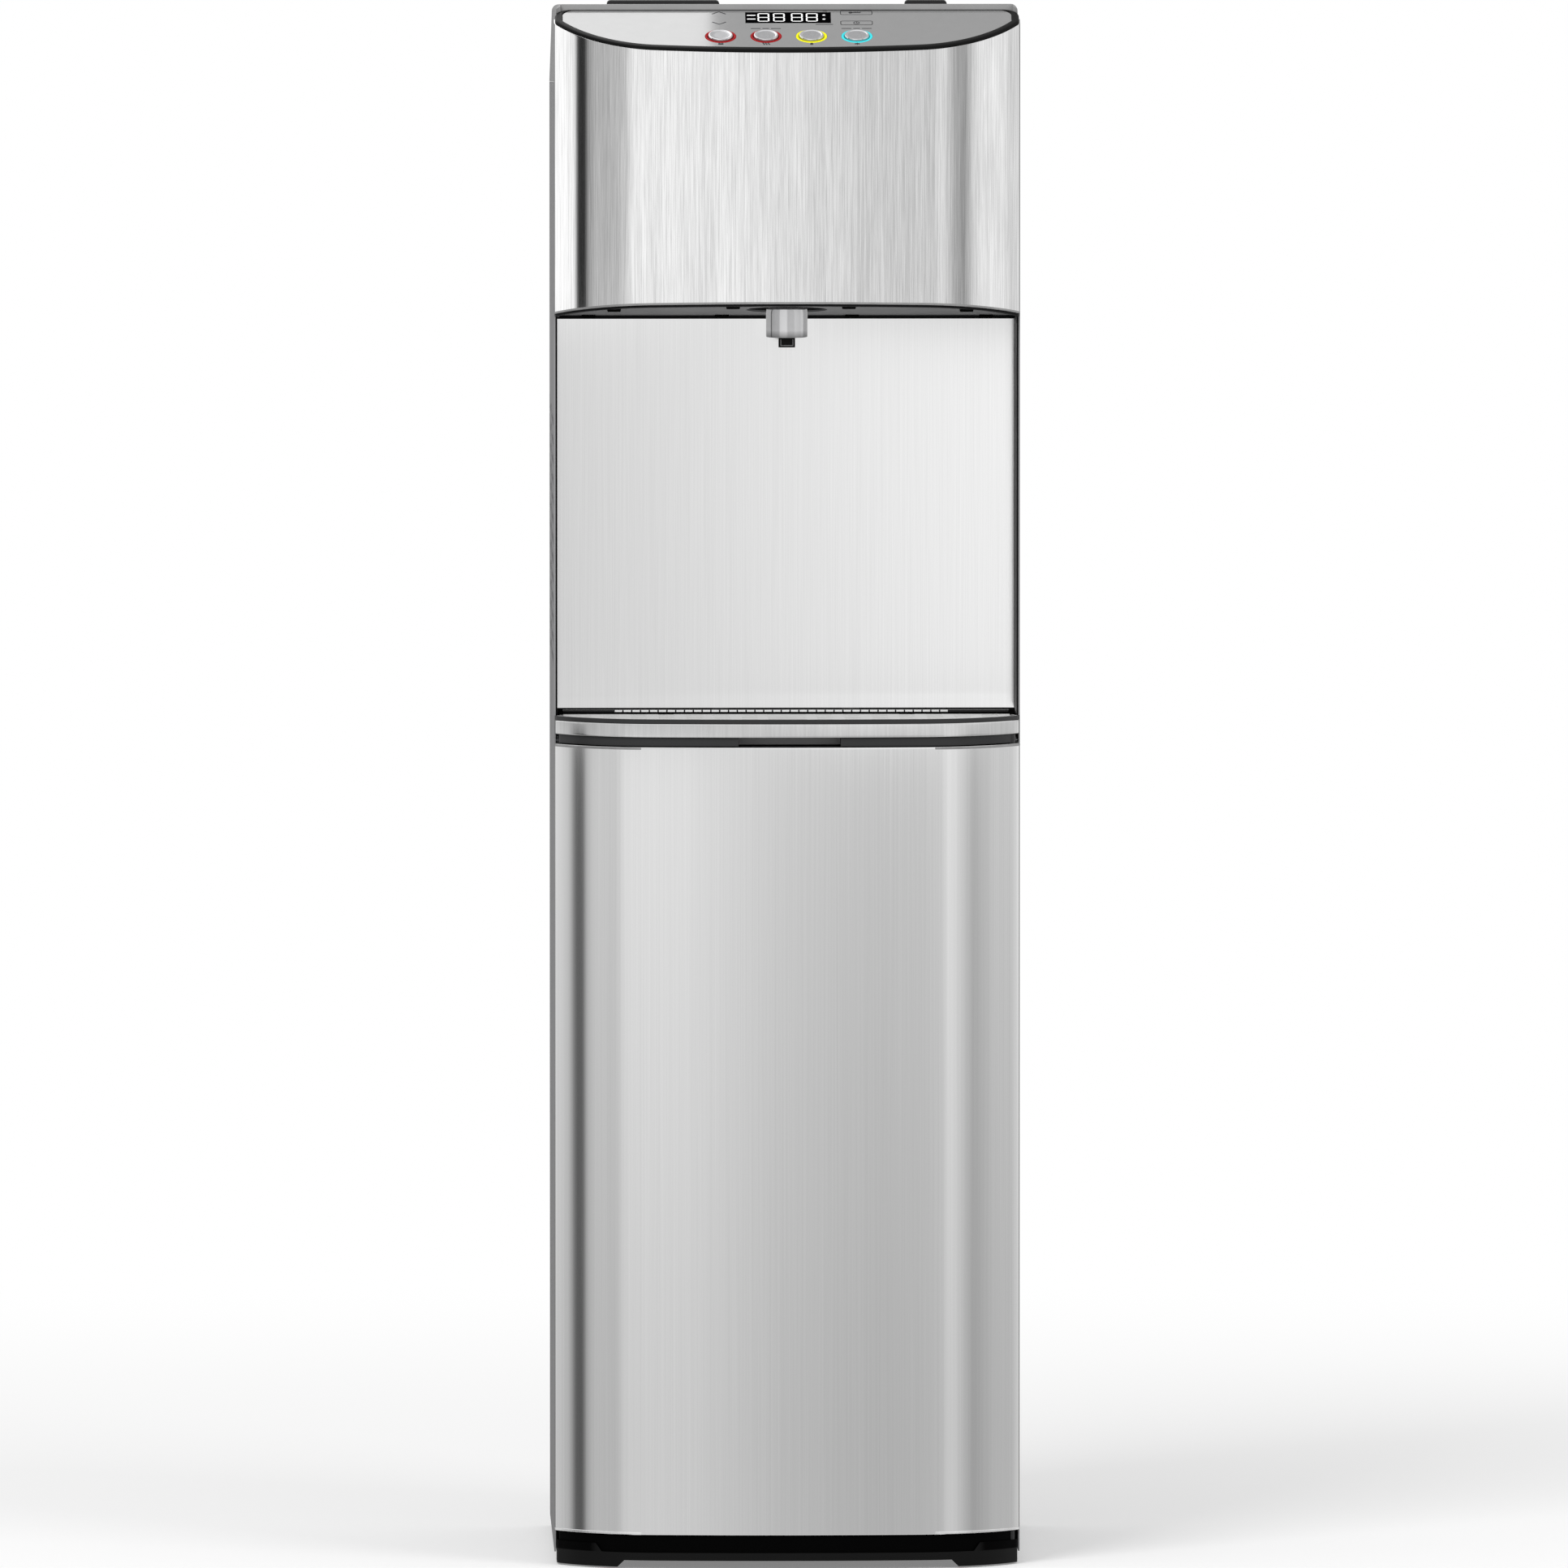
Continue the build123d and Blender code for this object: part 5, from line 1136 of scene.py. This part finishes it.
# Curved screens seen only in reflections, three all round the cooler and a small one round the
# spout: (degrees round from the front, linear brightness) stops, how much darker each is at its
# foot, and the radius and centre where they differ from the large ones. The small one shows
# the alcove's own brightness on its outer side.
brightest = 1.2  # the screens' colours are parts of this
screens = {
    "door": {
        "low": -1.2, "high": 0.49, "fadeFrom": 0.0, "foot": 0.78,
        "stops": (
            (-180, 0.3), (-130, 0.3), (-118, 0.86), (-104, 0.86), (-94, 0.80), (-85, 0.66), (-78, 0.15),
            (-71, 0.13), (-67, 0.58), (-60, 0.74), (-42, 0.71), (-35, 0.93), (-10, 0.94), (0, 0.76),
            (9, 0.68), (30, 0.73), (35, 0.93), (40, 0.88), (55, 0.53), (75, 0.70), (94, 0.70),
            (104, 0.94), (114, 1.0), (130, 0.3), (180, 0.3),
        ),
    },
    "alcove": {
        "low": 0.49, "high": 0.757, "fadeFrom": 0.49, "foot": 0.93,
        "stops": (
            (-180, 0.3), (-130, 0.3), (-120, 0.95), (-80, 0.60), (-40, 0.78), (-8, 0.80), (8, 1.12),
            (40, 1.0), (80, 0.8), (120, 0.9), (130, 0.3), (180, 0.3),
        ),
    },
    "head": {
        "low": 0.757, "high": 2.4, "fadeFrom": 0.757, "foot": 1.0,
        "stops": (
            (-180, 0.3), (-130, 0.3), (-120, 1.18), (-90, 1.18), (-79.5, 1.12), (-75.5, 0.04),
            (-69, 0.03), (-65, 0.40), (-58, 0.56), (-42, 0.55), (-35, 0.68), (-30, 0.97), (-20, 1.02),
            (-2, 0.95), (8, 0.76), (22, 0.68), (29, 0.86), (34, 0.72), (40, 0.50), (48, 0.38),
            (54, 0.72), (62, 0.94), (84, 0.98), (92, 0.79), (114, 0.84), (130, 0.3), (180, 0.3),
        ),
    },
    "spout": {
        "radius": 0.020, "centre": -0.118, "low": 0.814, "high": 0.8424, "fadeFrom": 0.814, "foot": 1.0,
        "stops": (
            (-180, 0.42), (-78, 0.55), (-70, 0.50), (-67.5, 0.06), (-64.5, 0.06), (-62, 0.46),
            (-44, 0.54), (-30, 0.56), (-25, 0.92), (-2, 0.98), (3, 0.66), (26, 0.68), (30, 0.84),
            (52, 0.74), (66, 0.90), (74, 0.46), (136, 0.5), (180, 0.5),
        ),
    },
}
screenRadius = 1.2
screenOutside = 0.95


def hideButGlossy(thing):
    # only reflections see it
    for rays in ("camera", "diffuse", "transmission", "volume_scatter", "shadow"):
        setattr(thing, "visible_" + rays, False)


def grey(level):
    return (level / brightest,) * 3 + (1.0,)


def makeScreen(name, facts):
    radius, centre = facts.get("radius", screenRadius), facts.get("centre", 0.0)
    n = Nodes(bpy.data.materials.new(name))
    x, y, z = n.node("SeparateXYZ", {"Vector": n.place()}).outputs
    angle = n.maths("ARCTAN2", x, n.maths("MULTIPLY_ADD", y, -1.0, centre))
    ramp = n.node("ValToRGB", {"Fac": n.ranged(angle, -np.pi, np.pi)})
    steps = ramp.color_ramp.elements
    while len(steps) < len(facts["stops"]):
        steps.new(0.5)
    for step, (degree, level) in zip(steps, facts["stops"]):
        step.position, step.color = (degree + 180) / 360, grey(level)
    back = n.node("NewGeometry").outputs["Backfacing"]
    sides = n.blend(back, ramp.outputs["Color"], grey(screenOutside))
    fade = n.ranged(z, facts["fadeFrom"], facts["high"], facts["foot"] * brightest, brightest)
    turn = np.radians(np.linspace(-180, 180, 145))[:, None]
    height = np.linspace(facts["low"], facts["high"], 5)
    sheet = np.broadcast_arrays(radius * np.sin(turn), centre - radius * np.cos(turn), height)
    points = np.stack(sheet, -1).reshape(-1, 3)
    screen = addMesh(name, points, gridFaces(145, 5), [n.finish(n.glow(sides, fade))])
    hideButGlossy(screen)


# Cards that only reflections see. Two stand behind and above the head and are mirrored by the
# panel's film and keys: metres from the panel's middle along the mirrored line of sight, the x
# range and the brightness. One lies above the grille, so that the alcove's back stays light.
cards = {
    "middle": (0.0, -0.15, 1.022),
    "away": 0.3,
    "reach": 0.17,
    "filmBright": (-0.45, -0.046, 1.6),
    "filmDark": (-0.046, 0.45, 0.62),
    "tray": {"span": (-0.153, -0.178, 0.153, -0.0612), "height": 0.5675, "left": 0.80, "right": 1.04},
}


def filmCorners(first, last):
    # the film mirrors the camera's line upwards at twice the panel's slope and the camera's pitch
    lean, reach = 2 * panelLean + np.radians(shot["pitch"]), cards["reach"]
    centre = cards["middle"] + cards["away"] * np.array([0.0, np.cos(lean), np.sin(lean)])
    up = np.array([0.0, -np.sin(lean), np.cos(lean)])
    return [centre + up * v + (x, 0.0, 0.0) for x, v in oblong(first, -reach, last, reach)]


def makeCard(name, corners, left, right):
    # brightness runs from left to right across the width of the cooler
    n = Nodes(bpy.data.materials.new(name))
    half = frontLine["halfWidth"] * mm
    light = n.glow(white, n.ranged(n.part("X"), -half, half, left, right))
    hideButGlossy(addMesh(name, corners, [(0, 1, 2, 3)], [n.finish(light)]))


def makeLamp(name, place, target, size, power):
    data = bpy.data.lights.new(name, "AREA")
    data.shape, data.energy = "RECTANGLE", power
    data.size, data.size_y = size
    lamp = addObject(name, data)
    aim(lamp, place, target)
    lamp.visible_glossy = lamp.visible_camera = False


makeFloor()
makeWorld()
for screenName, facts in screens.items():
    makeScreen(screenName + "Screen", facts)
for cardName in ("filmBright", "filmDark"):
    first, last, level = cards[cardName]
    makeCard(cardName, filmCorners(first, last), level, level)
trayCard = cards["tray"]
trayCorners = [(x, y, trayCard["height"]) for x, y in oblong(*trayCard["span"])]
makeCard("trayCard", trayCorners, trayCard["left"], trayCard["right"])
makeLamp("keyLamp", (-2.4, -4.2, 3.6), (0, 0, 0.6), (2.4, 2.4), stage["keyPower"])
makeLamp("fillLamp", (3.4, -3.2, 2.2), (0, 0, 0.5), (2.0, 2.0), stage["fillPower"])
bpy.context.scene.view_settings.view_transform = "Standard"
print("stage and lamps set")
